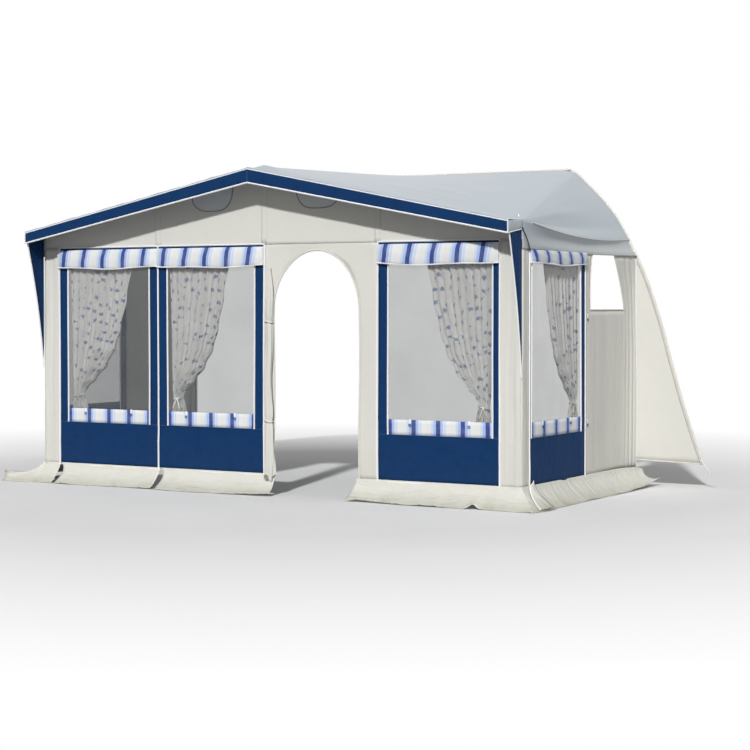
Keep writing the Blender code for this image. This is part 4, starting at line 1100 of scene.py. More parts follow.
def makeWindow(side, suffix, panel, pane):
    # navy cloth round the opening, with the striped band under it, its film and piping at its seams
    low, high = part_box(panel)
    paneLow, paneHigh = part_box(pane)
    axis, flip, name = axisOf(side), side == "left", "surround_" + suffix
    start, opens, closes, end = low[axis], paneLow[axis], paneHigh[axis], high[axis]
    width, height, bandLow = closes - opens, paneHigh.z - paneLow.z, paneLow.z - window["bandHeight"]

    def inOpening(p):
        return opens < p[axis] < closes and paneLow.z < p.z < paneHigh.z

    rows = [[onCloth(side, x, 0.0, z) for x in lines([start, opens, closes, end], window["grid"])]
            for z in lines([low.z, bandLow, paneLow.z, paneHigh.z, high.z], wall["grid"])]
    flat = (end - start, high.z - low.z)
    cloth(name, rows, wallUv(side), navyCanvas, flat,
          ["leg_tube_right" if side == "right" else "leg_tube_left"],
          area=areaOf(rows, flat, width * height), replaces=(panel,), flip=flip, cut=inOpening)

    rows = [[onCloth(side, x, window["bandOut"], z) for x in spread(opens, closes, window["bandColumns"])]
            for z in spread(bandLow, paneLow.z, window["bandRows"])]
    cloth("sill_band_" + suffix, rows, lambda p: (p[axis] - opens + window["stripeStart"], p.z), stripedCloth,
          (width, window["bandHeight"]), [name], flip=flip)

    rows = [[onCloth(side, x, -window["filmIn"], z) for x in steps(opens, closes, window["filmGrid"])]
            for z in steps(paneLow.z, paneHigh.z, window["filmGrid"])]
    cloth("film_" + suffix, rows, wallUv(side), clearFilm, (width, height), [name], replaces=(pane,),
          flip=flip, thickness=window["filmThickness"])

    wallPiping(name + "_piping", side, uprightRuns((opens, closes), bandLow, paneHigh.z),
               wall["piping"] * window["pipingShare"])
    wallPiping(name + "_welt", side, levelRuns([(start, end)], bandLow), window["welt"], material=blueWelt)
    places = [(between(opens, closes, share), paneLow.z - window["toggleDrop"])
              for share in window["toggleShares"]]
    makeToggles(side, "toggles_" + suffix, places, window["bandOut"])


def makeToggles(side, name, places, out):
    # short white tabs, each with a dark ring in its lower end
    width, length, size = toggle["width"], toggle["length"], toggle["ring"]
    tabs, rings = [], []
    for along, z in places:
        base = out + toggle["out"] + wallRipple(along, z, side)
        rows = [[onWall(side, along + shift, base + toggle["bulge"] * sin(pi * down),
                        z + toggle["above"] - length * down)
                 for shift in spread(-width / 2, width / 2, 3)] for down in spread(1, 0, 5)]
        tabs.append(gridSheet("tab", rows, (0.016, 0.034), flip=side == "left",
                              thickness=toggle["thickness"]))
        ring = [onWall(side, along + size * cos(turn), base + toggle["ringOut"],
                       z - toggle["ringDrop"] + size * sin(turn))
                for turn in spread(0, 2 * pi, 12)]
        rings.append(tubeAlong("ring", ring, toggle["wire"]))
    dress(joined(name, tabs), whitePiping)
    dress(joined(name + "_rings", rings), blueWelt)


def makeCover(side, suffix, solid):
    # rolled-up striped cover: a puffed roll, flat behind, with a sagging piped lower edge
    low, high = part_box(solid)
    axis, name = axisOf(side), "rolled_cover_" + suffix
    start, length, bulge = low[axis], high[axis] - low[axis], high[1 - axis] - low[1 - axis]
    middle, reach = (low.z + high.z) / 2, (high.z - low.z) / 2
    forward = (onWall(side, 0, 2 * cover["hemOut"], 0) - onWall(side, 0, 0, 0)) * 0.5
    rings, foot = [], []
    for share in spread(0, 1, cover["columns"]):
        taper = 1 - cover["taper"] * bell(min(share, 1 - share) * length, cover["taperWidth"])
        puff = 1 - cover["swell"] * (0.5 + 0.5 * sin(share * 21 + 1) * sin(share * 8 + start))
        sag = cover["sag"] * (sin(pi * share) + 0.35 * sin(3 * pi * share + start * 5))
        ring = []
        for angle in spread(0, 2 * pi, cover["around"])[:-1]:
            depth = bulge * (0.5 - 0.5 * cos(angle)) ** cover["squareness"] * taper * puff
            height = middle - reach * sin(angle) * (0.98 if depth > bulge * 0.1 else 0.94)
            height -= sag * max(0.0, sin(angle)) ** 1.5
            crease = cover["crease"] * abs(sin(9 * share + 3 * angle) * sin(angle / 2))
            ring.append(onCloth(side, start + length * share, cover["out"] + depth + crease, height))
        rings.append(ring)
        foot.append(min(ring, key=lambda p: p.z) + forward)
    girth = 2 * (high.z - low.z)
    bend = cover["bend"] if side == "front" else cover["sideBend"]

    def stripeUv(around, along):
        # the stripes lean a little from the top of the roll to its foot
        down = 0.5 - 0.5 * cos(2 * pi * around + pi / 2)
        place = along * length + bend * (1 - down)
        return place + cover["wobble"] * sin(6 * down + along * 9), around * girth

    dress(loft(name, rings, stripeUv), stripedCloth, replaces=(solid,))
    trim(name + "_hem", foot, cover["hem"], whitePiping)


for number in ("1", "2", "3"):
    makeWindow("front", number, "window_panel_" + number, "window_film_" + number)
    makeCover("front", number, "blind_" + number)
for side in ("left", "right"):
    makeWindow(side, side, "side_window_panel_" + side, "side_window_film_" + side)
    makeCover(side, side, "side_blind_" + side)
wallPiping("bay_edge_piping", "front", uprightRuns(bayJoints, baseHeight, seamHeight), wall["piping"],
           out=wall["bayPipingOut"])
wallPiping("base_edge_piping", "front", levelRuns(pipedBays, baseHeight), wall["base"])
print("windows ready")


# Doorway, its edging and the rolled door cloth

door = {"arch": 36, "post": 26, "across": 7, "edging": 0.0065, "inside": 0.01, "curl": 0.006}
roll = {"top": 1.70, "taper": 0.26, "thinnest": 0.12, "grid": 0.02, "around": 40, "below": 0.03,
        "inside": 0.012, "behind": 0.001, "size": 0.86, "folds": 3, "fold": 0.13, "crease": 0.06,
        "pinch": 0.34, "pinchWidth": 0.025, "foot": 0.16, "footOpen": 0.20, "footWave": 0.018, "wideTop": 0.5,
        "wideReach": 0.3, "wide": 0.30, "sway": 0.006, "swayFast": 0.004, "girth": 0.25}
tie = {"heights": (1.29, 0.55), "across": 0.03, "deep": 0.0205, "wave": 0.004, "band": 0.005, "tail": 0.004,
       "knot": (0.004, 0, 0), "slack": (-0.022, 0.012, 0.004), "end": (0.006, -0.004, 0.004)}


def makeDoorway():
    # the bay's cloth in lines from the doorway's edge out to the bay's edge
    low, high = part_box("door_panel")
    edge = [v.co for v in nodes["door_panel"].data.vertices
            if low.x + door["inside"] < v.co.x < high.x - door["inside"] and v.co.z < high.z - door["inside"]]
    left, right = min(p.x for p in edge), max(p.x for p in edge)
    spring = max(p.z for p in edge if p.x > right - onEdge)
    middle, radius, rise = (left + right) / 2, (right - left) / 2, max(p.z for p in edge) - spring
    posts, above, width = spread(low.z, spring, door["post"])[:-1], high.z - spring, high.x - low.x
    inner, outer = [(left, z) for z in posts], [(low.x, z) for z in posts]
    for share in spread(0, 1, door["arch"]):
        inner.append((middle - radius * cos(pi * share), spring + rise * sin(pi * share)))
        run = (2 * above + width) * share  # on the bay's edge: up, across and down again
        if run < above:
            outer.append((low.x, spring + run))
        elif run < above + width:
            outer.append((low.x + run - above, high.z))
        else:
            outer.append((high.x, high.z - (run - above - width)))
    inner += [(right, z) for z in posts[::-1]]
    outer += [(high.x, z) for z in posts[::-1]]
    rows = []
    for share in spread(0, 1, door["across"]):
        points = [(between(xa, xb, share), between(za, zb, share))
                  for (xa, za), (xb, zb) in zip(inner, outer)]
        curl = door["curl"] * (1 - share) ** 2
        rows.append([onCloth("front", x, curl * sin(z * 5 + x * 7), z) for x, z in points])
    flat = (width, high.z - low.z)
    cloth("doorway_sheet", rows, wallUv("front"), beigeCanvas, flat, ["leg_tube_centre"],
          area=areaOf(rows, flat), replaces=("door_panel",))
    trim("doorway_edging", rows[0], door["edging"], creamEdge)


def makeDoorRoll():
    # the door cloth rolled up along the left post, tied twice, thin at its top and open at its foot
    low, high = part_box("door_roll")
    middle = Vector(((low.x + high.x) / 2 + roll["inside"], (low.y + high.y) / 2 - roll["behind"], 0))
    reachX, reachY = (high.x - low.x) / 2 - roll["inside"], (high.y - low.y) / 2 - roll["behind"]
    rings = []
    for z in steps(low.z - roll["below"], roll["top"], roll["grid"]):
        thin = min(1.0, max(roll["thinnest"], (roll["top"] - z) / roll["taper"])) ** 0.6
        pinch = 1 - roll["pinch"] * sum(bell(z - height, roll["pinchWidth"]) for height in tie["heights"])
        foot = max(0.0, (low.z + roll["foot"] - z) / roll["foot"])
        sway = roll["sway"] * sin(z * 5.5) + roll["swayFast"] * sin(z * 13)
        wide = 1 + roll["wide"] * clamp((roll["wideTop"] - z) / roll["wideReach"])
        ring = []
        for angle in spread(0, 2 * pi, roll["around"])[:-1]:
            fold = 1 + roll["fold"] * sin(roll["folds"] * angle + 4.5 * z)
            fold += roll["crease"] * sin(7 * angle - 6 * z)
            size = thin * pinch * fold * (1 + roll["footOpen"] * foot * sin(5 * angle)) * roll["size"]
            ring.append(middle + Vector((sway * (1 - foot) + reachX * size * wide * cos(angle),
                                         reachY * min(1.0, size) * sin(angle),
                                         z + roll["footWave"] * foot * foot * sin(3 * angle + 1))))
        rings.append(ring)
    length = roll["top"] - low.z
    piece = loft("rolled_door_cloth", rings, lambda around, along: (around * roll["girth"], along * length))
    dress(piece, beigeCanvas, replaces=("door_roll",))
    ties = []
    for height in tie["heights"]:
        centre = middle + Vector((roll["sway"] * sin(height * 5.5), 0, height))
        loop = [centre + Vector((tie["across"] * cos(turn), tie["deep"] * sin(turn),
                                 tie["wave"] * sin(2 * turn)))
                for turn in spread(0, 2 * pi, 16)]
        x, y, z = tie["end"]
        tail = [loop[8] + Vector(tie["knot"]), loop[8] + Vector(tie["slack"]),
                Vector((x, front + y, height + z))]
        ties += [tubeAlong("tie", loop, tie["band"]), tubeAlong("tie", tail, tie["tail"])]
    dress(joined("door_ties", ties), creamEdge)


makeDoorway()
makeDoorRoll()
print("doorway ready")


# Rear part of the side walls, with the half door, and the flaps behind

sideWall = {"grid": 0.02, "rearGrid": 0.007, "pleats": 0.285, "pleatFade": 0.02, "pleatDepth": 0.017,
            "pleatRate": 88, "zipIn": 0.006, "zipWidth": 0.0028, "frontEdge": 0.004, "rearSeam": 0.0045,
            "rearSeamIn": 0.008, "toggleIn": 0.034, "toggleHeights": (1.34, 0.56), "toggleOut": 0.002}
halfDoor = {"inside": 0.01, "front": 0.07, "lean": 0.19, "meanLean": 2.3, "round": 0.05, "hem": 0.004,
            "closed": (0.15, 0.25, 0.42)}


def sidePleats(y, z):
    # soft folds near the rear edge, deeper lower down
    behind = rear - y
    near = max(0.0, 1 - behind / sideWall["pleats"])
    near = min(1.0, near * 1.5) * min(1.0, behind / sideWall["pleatFade"])
    turn = behind * sideWall["pleatRate"] + 0.9 * sin(z * 2.2) + 2.5 * softNoise(y, z, 14.0, 1.6)
    return sideWall["pleatDepth"] * near * (abs(sin(turn / 2)) ** 0.7 - 0.55) * (0.6 + 0.4 * sin(z * 1.4 + 1))


def halfDoorOf(side):
    # front edge, rear edge and sill of this side's half door, and whether it is open
    low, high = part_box("side_rear_panel_" + side)
    body = [v.co for v in nodes["side_rear_panel_" + side].data.vertices]
    edge = [p for p in body if low.y + halfDoor["inside"] < p.y < high.y - halfDoor["inside"]]
    if edge:
        places, heights = [p.y for p in edge], [p.z for p in edge]
        return min(places) - halfDoor["front"], max(places), min(heights), True
    before, behind, depth = halfDoor["closed"]
    return low.y + before, high.y - behind, high.z - depth, False


def makeSideRear(side):
    low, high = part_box("side_rear_panel_" + side)
    start, end, sill, isOpen = halfDoorOf(side)

    def drawn(y, z):
        # the open door narrows towards its top, and the cloth behind it leans forward with it
        up = max(0.0, (z - sill) / (high.z - sill)) * isOpen
        share = clamp((y - start) / (end - start))
        before, behind = min(1.0, (y - low.y) / (start - low.y)), min(1.0, (high.y - y) / (high.y - end))
        y += halfDoor["round"] * up ** 3 * before * (1 - share)
        return y - halfDoor["lean"] * up ** 1.3 * behind * share

    def inOpening(p):
        return isOpen and drawn(start, p.z) < p.y < drawn(end, p.z) and p.z > sill

    columns = lines([low.y, start, end], sideWall["grid"]) + steps(end, high.y, sideWall["rearGrid"])[1:]
    rows = [[onWall(side, drawn(y, z), wallRipple(y, z, side) + sidePleats(y, z), z) for y in columns]
            for z in lines([low.z, sill, high.z], wall["grid"])]
    opening = (end - start - halfDoor["lean"] / halfDoor["meanLean"]) * (high.z - sill) * isOpen
    flat = (high.y - low.y, high.z - low.z)
    cloth("side_rear_sheet_" + side, rows, wallUv(side), beigeCanvas, flat, ["rear_upright_" + side],
          area=areaOf(rows, flat, opening), replaces=("side_rear_panel_" + side,), flip=side == "left",
          cut=inOpening)
    edge = [(drawn(start, z), z) for z in spread(high.z, sill, 8)]
    edge += [(drawn(end, z), z) for z in spread(sill, high.z, 8)]
    wallPiping("half_door_edging_" + side, side, [edge], halfDoor["hem"], material=creamEdge)
    wallPiping("side_zip_tape_" + side, side, uprightRuns([low.y + sideWall["zipIn"]], low.z, high.z),
               sideWall["zipWidth"], out=0.0, material=greyWelt)
    windowEdges = (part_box("side_window_panel_right")[0].y, low.y - sideWall["frontEdge"])
    wallPiping("side_edge_piping_" + side, side, uprightRuns(windowEdges, low.z, high.z), wall["edging"])
    wallPiping("rear_seam_piping_" + side, side, uprightRuns([rear - sideWall["rearSeamIn"]], low.z, high.z),
               sideWall["rearSeam"])
    places = [(low.y + sideWall["toggleIn"], height) for height in sideWall["toggleHeights"]]
    makeToggles(side, "side_toggles_" + side, places, sideWall["toggleOut"])


flap = {"grid": 0.035, "columns": 16, "cut": (0.6, 1.62), "footHeight": 0.205, "low": 0.2, "tall": 1.6,
        "billow": 0.010, "inside": 0.0015, "hem": 0.0055, "edge": 0.0078, "edgeIn": 0.006, "edgeOut": 0.002,
        "edgeCount": 70, "tape": 0.026, "tapeIn": 0.0042, "tapeTop": 0.03, "tapeCount": 60, "seam": 0.0016,
        "seamOut": 0.0012}
strap = {"route": ((-0.03, 0.03), (0.0, 0.0), (0.022, -0.028), (0.05, -0.062)), "behind": 0.004,
         "width": 0.006, "ring": 0.016, "ringDrop": 0.7, "wire": 0.0032}


def makeFlap(side, suffix):
    # cloth behind the side wall that runs out to the rail's curve, pointed at its foot
    rows = []
    for z in steps(flap["footHeight"], valance, flap["grid"]):
        row = []
        for share in spread(0, 1, flap["columns"]):
            x = between(flapLow.x, reachAt(max(z, flapLow.z + 2 * onEdge)), share)
            drop = (flapLow.z - flap["footHeight"]) * share if z == flap["footHeight"] else 0.0
            out = flap["billow"] * sin(pi * share) * sin(pi * (z - flap["low"]) / flap["tall"])
            out *= 0.6 + softNoise(x, z, 4, 1.5)
            row.append(Vector((side * x, rear - flap["inside"] - abs(out), z + drop)))
        rows.append(row)
    flat = flap["cut"]
    cloth("flap_sheet_" + suffix, rows, wallUv("front"), beigeCanvas, flat, ["rail_bead"], held="hung",
          area=areaOf(rows, flat), replaces=("rear_flap_" + suffix,), flip=side < 0)
    trim("flap_hem_" + suffix, rows[0], flap["hem"], creamEdge)
    edge = [Vector((side * (x - flap["edgeOut"]), rear - flap["edgeIn"], z)) for x, z in rearCurve]
    trim("flap_edge_" + suffix, smoothLine(edge, flap["edgeCount"]), flap["edge"], creamEdge)


def makeFlapTape(side, suffix):
    # flat tape along the flap's outer edge with its seam, and the peg strap at its foot
    width = flap["tape"]
    line = smoothLine([(side * x, rear - flap["tapeIn"], z)
                       for x, z in rearCurve if z < valance + flap["tapeTop"]], flap["tapeCount"])
    inwards = [Vector((b.z - a.z, 0, a.x - b.x)).normalized() * side
               for a, b in zip([line[0]] + line, line[1:] + [line[-1]])]
    rows = [line, [point + inward * width for point, inward in zip(line, inwards)]]
    cloth("flap_tape_" + suffix, rows, (1.7, width), creamEdge, (areaOf(rows) / width, width),
          ["flap_sheet_" + suffix], flip=side > 0, thickness=tape["thickness"])
    trim("flap_edge_seam_" + suffix, [p - Vector((0, flap["seamOut"], 0)) for p in rows[1]], flap["seam"],
         greyWelt)
    tail = [line[-1] + Vector((side * x, -strap["behind"], z)) for x, z in strap["route"]]
    across, up, drop = Vector((side * strap["ring"], 0, 0)), Vector((0, 0, strap["ring"])), strap["ringDrop"]
    ring = arc(tail[-1] + across * drop - up * drop, across, up, 17, 16)
    pieces = [tubeAlong("strap", smoothLine(tail, 12), strap["width"]),
              tubeAlong("ring", ring, strap["wire"])]
    dress(joined("flap_strap_" + suffix, pieces), creamEdge)


for side in ("left", "right"):
    makeSideRear(side)
for side, suffix in sides:
    makeFlap(side, suffix)
    makeFlapTape(side, suffix)
railEdge = [Vector((x, rear - flap["edgeIn"], rail - 2 * onEdge)) for x in spread(-railEnd, railEnd, 40)]
trim("rail_edge_tape", railEdge, flap["edge"], creamEdge)
print("side walls and flaps ready")


# Mud skirts

skirt = {"rows": 12, "lap": 0.012, "wave": 0.030, "fold": 0.55, "crease": 0.35, "lift": 0.016, "flare": 1.7,
         "ragged": 0.010, "curl": 0.05, "out": 0.004, "ground": 0.0015, "lowest": 0.0012, "slitWidth": 0.07,
         "looseDrop": 0.45, "sideColumns": 110, "sideReach": 0.075, "leftColumns": 44, "rightColumns": 90,
         "rightReach": 0.02}
ear = {"tipOut": 0.012, "tipForward": 0.03, "tipHeight": 0.002, "bow": 0.022, "belly": 0.012, "wave": 0.006}
# three sheets left of the doorway, which end a little past the bay joints
frontSheets = {"past": (0.012, 0.02), "reach": ((0.0, -0.012), (-0.012, -0.012), (-0.012, 0.03)),
               "curl": ((0.0, 0.0), (0.0, 0.15), (0.0, 0.45)),
               "slit": ((0.0, 0.008), (0.034, 0.008), (0.034, 0.0))}
notch = {"place": 1.81, "width": 0.035, "height": 0.034}  # where the right skirt's hem is caught up
patch = {"width": 0.19, "grid": 8, "start": 3, "columns": 9, "out": 0.007, "belly": 0.006, "forward": 0.003,
         "above": 0.010, "loose": 0.03, "edging": 0.004}


def skirtRows(start, end, outward, kick, seed, columns, reach=(0.0, 0.0), curl=(0.0, 0.0), slit=(0.0, 0.0),
              extra=0.0, loose=0.0):
    # cloth from the wall's foot down and out to the ground, wavier and ragged towards its lower edge
    # at its two ends, reach lengthens the lower corners, curl lifts them and slit hollows the edge
    # extra widens the kick at the start, and loose lets the top edge fall away from the wall at the end
    start, end = Vector(start), Vector(end)
    along, length = (end - start).normalized(), (end - start).length
    rows = []
    for down in spread(1, 0, skirt["rows"]):
        row = []
        for share in spread(0, 1, columns):
            run = share * length
            first, last = (1 - share) ** (length * 2), share ** (length * 4)
            wave = softNoise(run, seed, 1.0, 2.1) + skirt["fold"] * softNoise(run, seed, 5.0, 4.6)
            deep = 0.5 + softNoise(run, seed, 17.0, 1.3)
            wave += skirt["crease"] * softNoise(run, seed, 12.0, 11.0) * deep
            out = (kick + extra * first + skirt["wave"] * wave) * down ** skirt["flare"] + skirt["out"]
            out += loose * last ** 2 * (1 - down)
            lift = skirt["lift"] * max(0.0, softNoise(run, seed, 9.0, 4.0)) * down
            lift += skirt["curl"] * (curl[0] * first + curl[1] * last) * down ** 4
            lift += skirt["ragged"] * max(0.0, softNoise(run, seed, 3.0, 38.0)) * down ** 10
            lift -= skirt["looseDrop"] * loose * last ** 2 * (1 - down)
            hollow = slit[0] * bell(run, skirt["slitWidth"])
            hollow -= slit[1] * bell(length - run, skirt["slitWidth"])
            sideways = (reach[1] * share ** 3 - reach[0] * (1 - share) ** 3) * down ** 1.3
            sideways += hollow * sin(pi * down ** 0.8)
            place = start.lerp(end, share) + Vector(outward) * out + along * sideways
            height = (baseHeight + skirt["lap"]) * (1 - down) + lift + skirt["ground"]
            place.z = max(skirt["lowest"], height)
            row.append(place)
        rows.append(row)
    return rows


def makeSkirt(suffix, sheets, flip=False):
    # one skirt of one or more sheets side by side
    name, widths = "mud_skirt_" + suffix, [(rows[0][-1] - rows[0][0]).length for rows in sheets]
    pieces = [gridSheet(name, rows, (width, 0.2), flip=flip) for rows, width in zip(sheets, widths)]
    piece = dress(joined(name, pieces), skirtCloth, replaces=("skirt_" + suffix,))
    flat = (sum(widths), sum(areaOf(rows) for rows in sheets) / sum(widths))


def makeSideSkirt(side, suffix, extra, curl, loose):
    low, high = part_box("skirt_side_" + suffix)
    kick = high.x - half if side > 0 else -half - low.x
    start, end, reach = (side * half, front, 0), (side * half, rear, 0), (front - low.y, skirt["sideReach"])
    rows = skirtRows(start, end, (side, 0, 0), kick, 50.0 + side, skirt["sideColumns"], reach, curl,
                     extra=extra, loose=loose)
    makeSkirt("side_" + suffix, [rows], side < 0)
    return rows


def cornerEar(edge, sheet):
    # the front skirt's end, pulled out to the left between the side skirt's raised front edge and the ground
    foot = sheet[0][0]
    tip = Vector((edge[-1].x + ear["tipOut"], edge[-1].y - ear["tipForward"], ear["tipHeight"]))
    rows = []
    for down, row in zip(spread(1, 0, skirt["rows"]), sheet):
        pulled = []
        for k, top in enumerate(edge[::-1]):
            share = 1 - k / (len(edge) - 1)
            ground = foot.lerp(tip, share) + Vector((0, -ear["bow"] * sin(pi * share), 0))
            place = row[0] + (top - edge[0]) * (1 - down) + (ground - foot) * down
            belly = ear["belly"] * sin(pi * share) * sin(pi * down)
            place.y -= belly + ear["wave"] * sin(share * 14) * down * share
            pulled.append(place)
        rows.append(pulled + row[1:])
    return rows


def makeFrontSkirts(leftEdge):
    low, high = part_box("skirt_front_left")
    kick = front - low.y
    ends = [-half, *[x + past for x, past in zip(bayJoints, frontSheets["past"])], high.x]
    ways = (frontSheets["reach"], frontSheets["curl"], frontSheets["slit"])
    sheets = []
    for number, (a, b, reach, curl, slit) in enumerate(zip(ends, ends[1:], *ways)):
        sheets.append(skirtRows((a, front, 0), (b, front, 0), (0, -1, 0), kick, number * 7.0,
                                skirt["leftColumns"], reach, curl, slit))
    sheets[0] = cornerEar(leftEdge, sheets[0])
    makeSkirt("front_left", sheets)
    low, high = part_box("skirt_front_right")
    rows = skirtRows((low.x, front, 0), (half, front, 0), (0, -1, 0), kick, 31.0, skirt["rightColumns"],
                     (skirt["rightReach"], high.x - half), (0.3, 0.0))
    for row, down in zip(rows, spread(1, 0, skirt["rows"])):
        for place in row:
            place.z += notch["height"] * down ** 3 * bell(place.x - notch["place"], notch["width"])
    makeSkirt("front_right", [rows])


def makeCornerPatch(rows):
    # loose end of the front skirt, turned round the right corner and over the side skirt
    grid = []
    for down in spread(1, 0, patch["grid"]):
        level = (1 - down) * skirt["rows"] * 0.9 + 0.4
        low, high = rows[int(level)], rows[min(int(level) + 1, skirt["rows"])]
        row = []
        for share in spread(0, 1, patch["grid"]):
            at = patch["start"] * (2 - down) + share * patch["columns"] * (0.35 + 0.65 * down)
            a, b = (line[int(at)].lerp(line[int(at) + 1], at % 1) for line in (low, high))
            out = patch["out"] + patch["belly"] * sin(pi * share)
            above = patch["above"] + patch["loose"] * (1 - down) * share
            row.append(a.lerp(b, level % 1) + Vector((out, -patch["forward"], above)))
        grid.append(row)
    flat = (patch["width"], areaOf(grid) / patch["width"])
    cloth("skirt_corner_patch", grid, (patch["width"], 0.2), skirtCloth, flat, ["mud_skirt_side_right"],
          held="folded", thickness=tape["thickness"])
    trim("skirt_patch_edging", [row[0] for row in grid] + grid[-1][1:], patch["edging"], whitePiping)


leftRows = makeSideSkirt(-1, "left", 0.15, (1.7, 0.6), 0.0)
makeFrontSkirts([row[0] for row in leftRows[::-1]])
makeCornerPatch(makeSideSkirt(1, "right", 0.0, (0.0, 1.3), 0.06))
print("skirts ready")


# Curtains

curtain = {"folds": 9, "depth": 0.014, "deepest": 0.0185, "columns": 120, "rows": 64, "cadShare": 0.72,
           "narrowest": 0.09, "gather": 0.005, "drop": 0.045, "longer": 1.12, "thickness": 0.0006,
           "tie": 0.83, "tieHeight": 0.045, "pinch": 0.5}
curtainTie = {"deep": 0.0165, "tilt": 0.008, "band": 0.006, "knot": 0.017, "leans": (-0.0126, 0.0084),
              "drop": 0.024, "tail": 0.0045}
freeEdge = ((0, 0.0), (0.2, -0.07), (0.38, -0.145), (0.5, -0.21), (0.62, -0.31), (0.72, -0.43), (0.79, -0.53),
            (0.83, -0.56), (0.92, -0.53), (1, -0.50))
tightEdge = ((0, 0.0), (0.6, 0.02), (0.8, 0.035), (0.83, 0.045), (1, 0.015))


def makeCurtain(suffix, axis, fromHigh, topShare):
    # gathered cloth that is wide at its rod, drawn aside and tied, and falls free below the tie
    low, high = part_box("curtain_" + suffix)
    name = "gathered_curtain_" + suffix
    pane = (high[axis] - low[axis]) / curtain["cadShare"]
    fixed, away = (high[axis], -1) if fromHigh else (low[axis], 1)
    middle, deepest = (low[1 - axis] + high[1 - axis]) / 2, curtain["deepest"]

    def placed(run, depth, z):
        point = (fixed + away * run, middle + depth)
        return Vector((*point[::1 if axis == 0 else -1], z))

    rows, waist = [], None
    for down in spread(0, 1, curtain["rows"]):
        start = readLine(tightEdge, down) * pane
        end = (topShare + readLine(freeEdge, down) * topShare / curtain["cadShare"]) * pane
        end = max(end, start + curtain["narrowest"] * pane)
        z = between(high.z, low.z, down)
        pinch = 1 - curtain["pinch"] * bell(down - curtain["tie"], curtain["tieHeight"])
        drop = curtain["drop"] * sin(pi * min(1.0, down / curtain["tie"])) * (down < curtain["tie"])
        row = []
        for share in spread(0, 1, curtain["columns"]):
            turn = 2 * pi * curtain["folds"] * share + 0.9 * sin(3 * down + 5 * share)
            depth = curtain["depth"] * (sin(turn) + 0.25 * sin(2.3 * turn + 2)) * pinch
            run = between(start, end, share) + curtain["gather"] * sin(2 * turn) * (1 - 0.6 * down)
            row.append(placed(run, max(-deepest, min(deepest, depth)), z - drop * share))
        rows.append(row)
        if waist is None and down >= curtain["tie"]:
            waist = (start, end, z)
    size = (topShare * pane * curtain["longer"], high.z - low.z)
    cloth(name, rows[::-1], size, curtainCloth, size, [], held="gathered", area=areaOf(rows, size),
          replaces=("curtain_" + suffix,), thickness=curtain["thickness"])
    start, end, z = waist
    centre, reach = (start + end) / 2, (end - start) / 2
    loop = [placed(centre + reach * cos(turn), curtainTie["deep"] * sin(turn),
                   z + curtainTie["tilt"] * cos(turn))
            for turn in spread(0, 2 * pi, 16)]
    knot = curtainTie["knot"] * (-1 if axis == 0 else 1)
    tails = [[placed(centre + lean * k, knot, z - curtainTie["drop"] * k) for k in range(4)]
             for lean in curtainTie["leans"]]
    pieces = [tubeAlong("band", loop, curtainTie["band"])]
    pieces += [tubeAlong("tail", tail, curtainTie["tail"]) for tail in tails]
    dress(joined(name + "_tie", pieces), creamEdge)


for suffix, axis, fromHigh, topShare in (("1", 0, False, 0.80), ("2", 0, False, 0.72), ("3", 0, True, 0.64),
                                         ("side", 1, True, 0.68)):
    makeCurtain(suffix, axis, fromHigh, topShare)
print("curtains ready")


# Corner fittings: strap with its buckle, and the spike through the roof's eyelet

buckle = {"out": 0.007, "forward": 0.004, "top": 0.06, "foot": 0.19, "back": 0.10, "bulge": 0.004,
          "band": 0.0045, "hook": 0.009, "wire": 0.0035, "peg": 0.006, "pegReach": 0.008}
spike = {"inside": 0.049, "below": 0.004,
         "profile": ((0.012, 0.010), (0.012, 0.017), (0.006, 0.019), (0.006, 0.036), (0.004, 0.043),
                     (0.001, 0.045))}


def makeFittings(side, suffix):
    x, bulge, size = side * (half + buckle["out"]), buckle["bulge"], buckle["hook"]
    top = Vector((x, front - buckle["forward"], eaves - buckle["top"]))
    foot = Vector((x + side * bulge, front + buckle["back"], eaves - buckle["foot"]))
    middle = top.lerp(foot, 0.5) + Vector((side * bulge, bulge, 0))
    reach = Vector((side * buckle["pegReach"], 0, 0))
    webbing = tubeAlong("band", smoothLine([top, middle, foot], 12), buckle["band"])
    peg = tubeAlong("peg", [top - reach, top + reach], buckle["peg"])
    hook = [foot + Vector((0, size * sin(k * pi / 6), -size + size * cos(k * pi / 6))) for k in range(11)]
    pieces = [webbing, peg, tubeAlong("hook", hook, buckle["wire"])]
    dress(joined("corner_strap_" + suffix, pieces), blackPlastic)
    pin = Vector((side * (half - spike["inside"]), front + spike["inside"], eaves - spike["below"]))
    rings = [arc(pin + Vector((0, 0, height)), Vector((size, 0, 0)), Vector((0, size, 0)), 12, 12)
             for size, height in spike["profile"]]
    dress(loft("roof_spike_" + suffix, rings, lambda around, along: (around * 0.07, along * 0.05)), steel)


for side, suffix in sides:
    makeFittings(side, suffix)
print("fittings ready")


# Frame tubes, round and with rolled ends

tube = {"sides": 32, "lip": 0.0016, "groove": 0.0006, "grooveEdges": (0.030, 0.032, 0.036, 0.038),
        "endReach": 0.02, "step": 0.0001, "seat": 0.0002, "barSides": 20, "apart": 0.1}
knob = {"around": 60, "lobes": 3, "round": 0.6,
        "profile": ((0.0, 0.86), (0.1, 0.97), (0.2, 1.0), (0.75, 1.0), (0.92, 0.95), (1.0, 0.82),
                    (0.96, 0.5), (0.9, 0.34), (1.0, 0.32), (1.0, 0.1))}
pad = {"thickness": 0.03, "behind": 0.015, "rounding": 0.006, "arm": 0.009, "armIn": 0.004, "below": 0.3,
       "above": 1.6}


def pointsOf(name):
    return [v.co.copy() for v in nodes[name].data.vertices]


def middleOf(points):
    # middle of the box round some points
    return Vector([(min(p[k] for p in points) + max(p[k] for p in points)) / 2 for k in range(3)])


def footOf(points):
    lowest = min(p.z for p in points)
    return middleOf([p for p in points if p.z < lowest + tube["step"]])


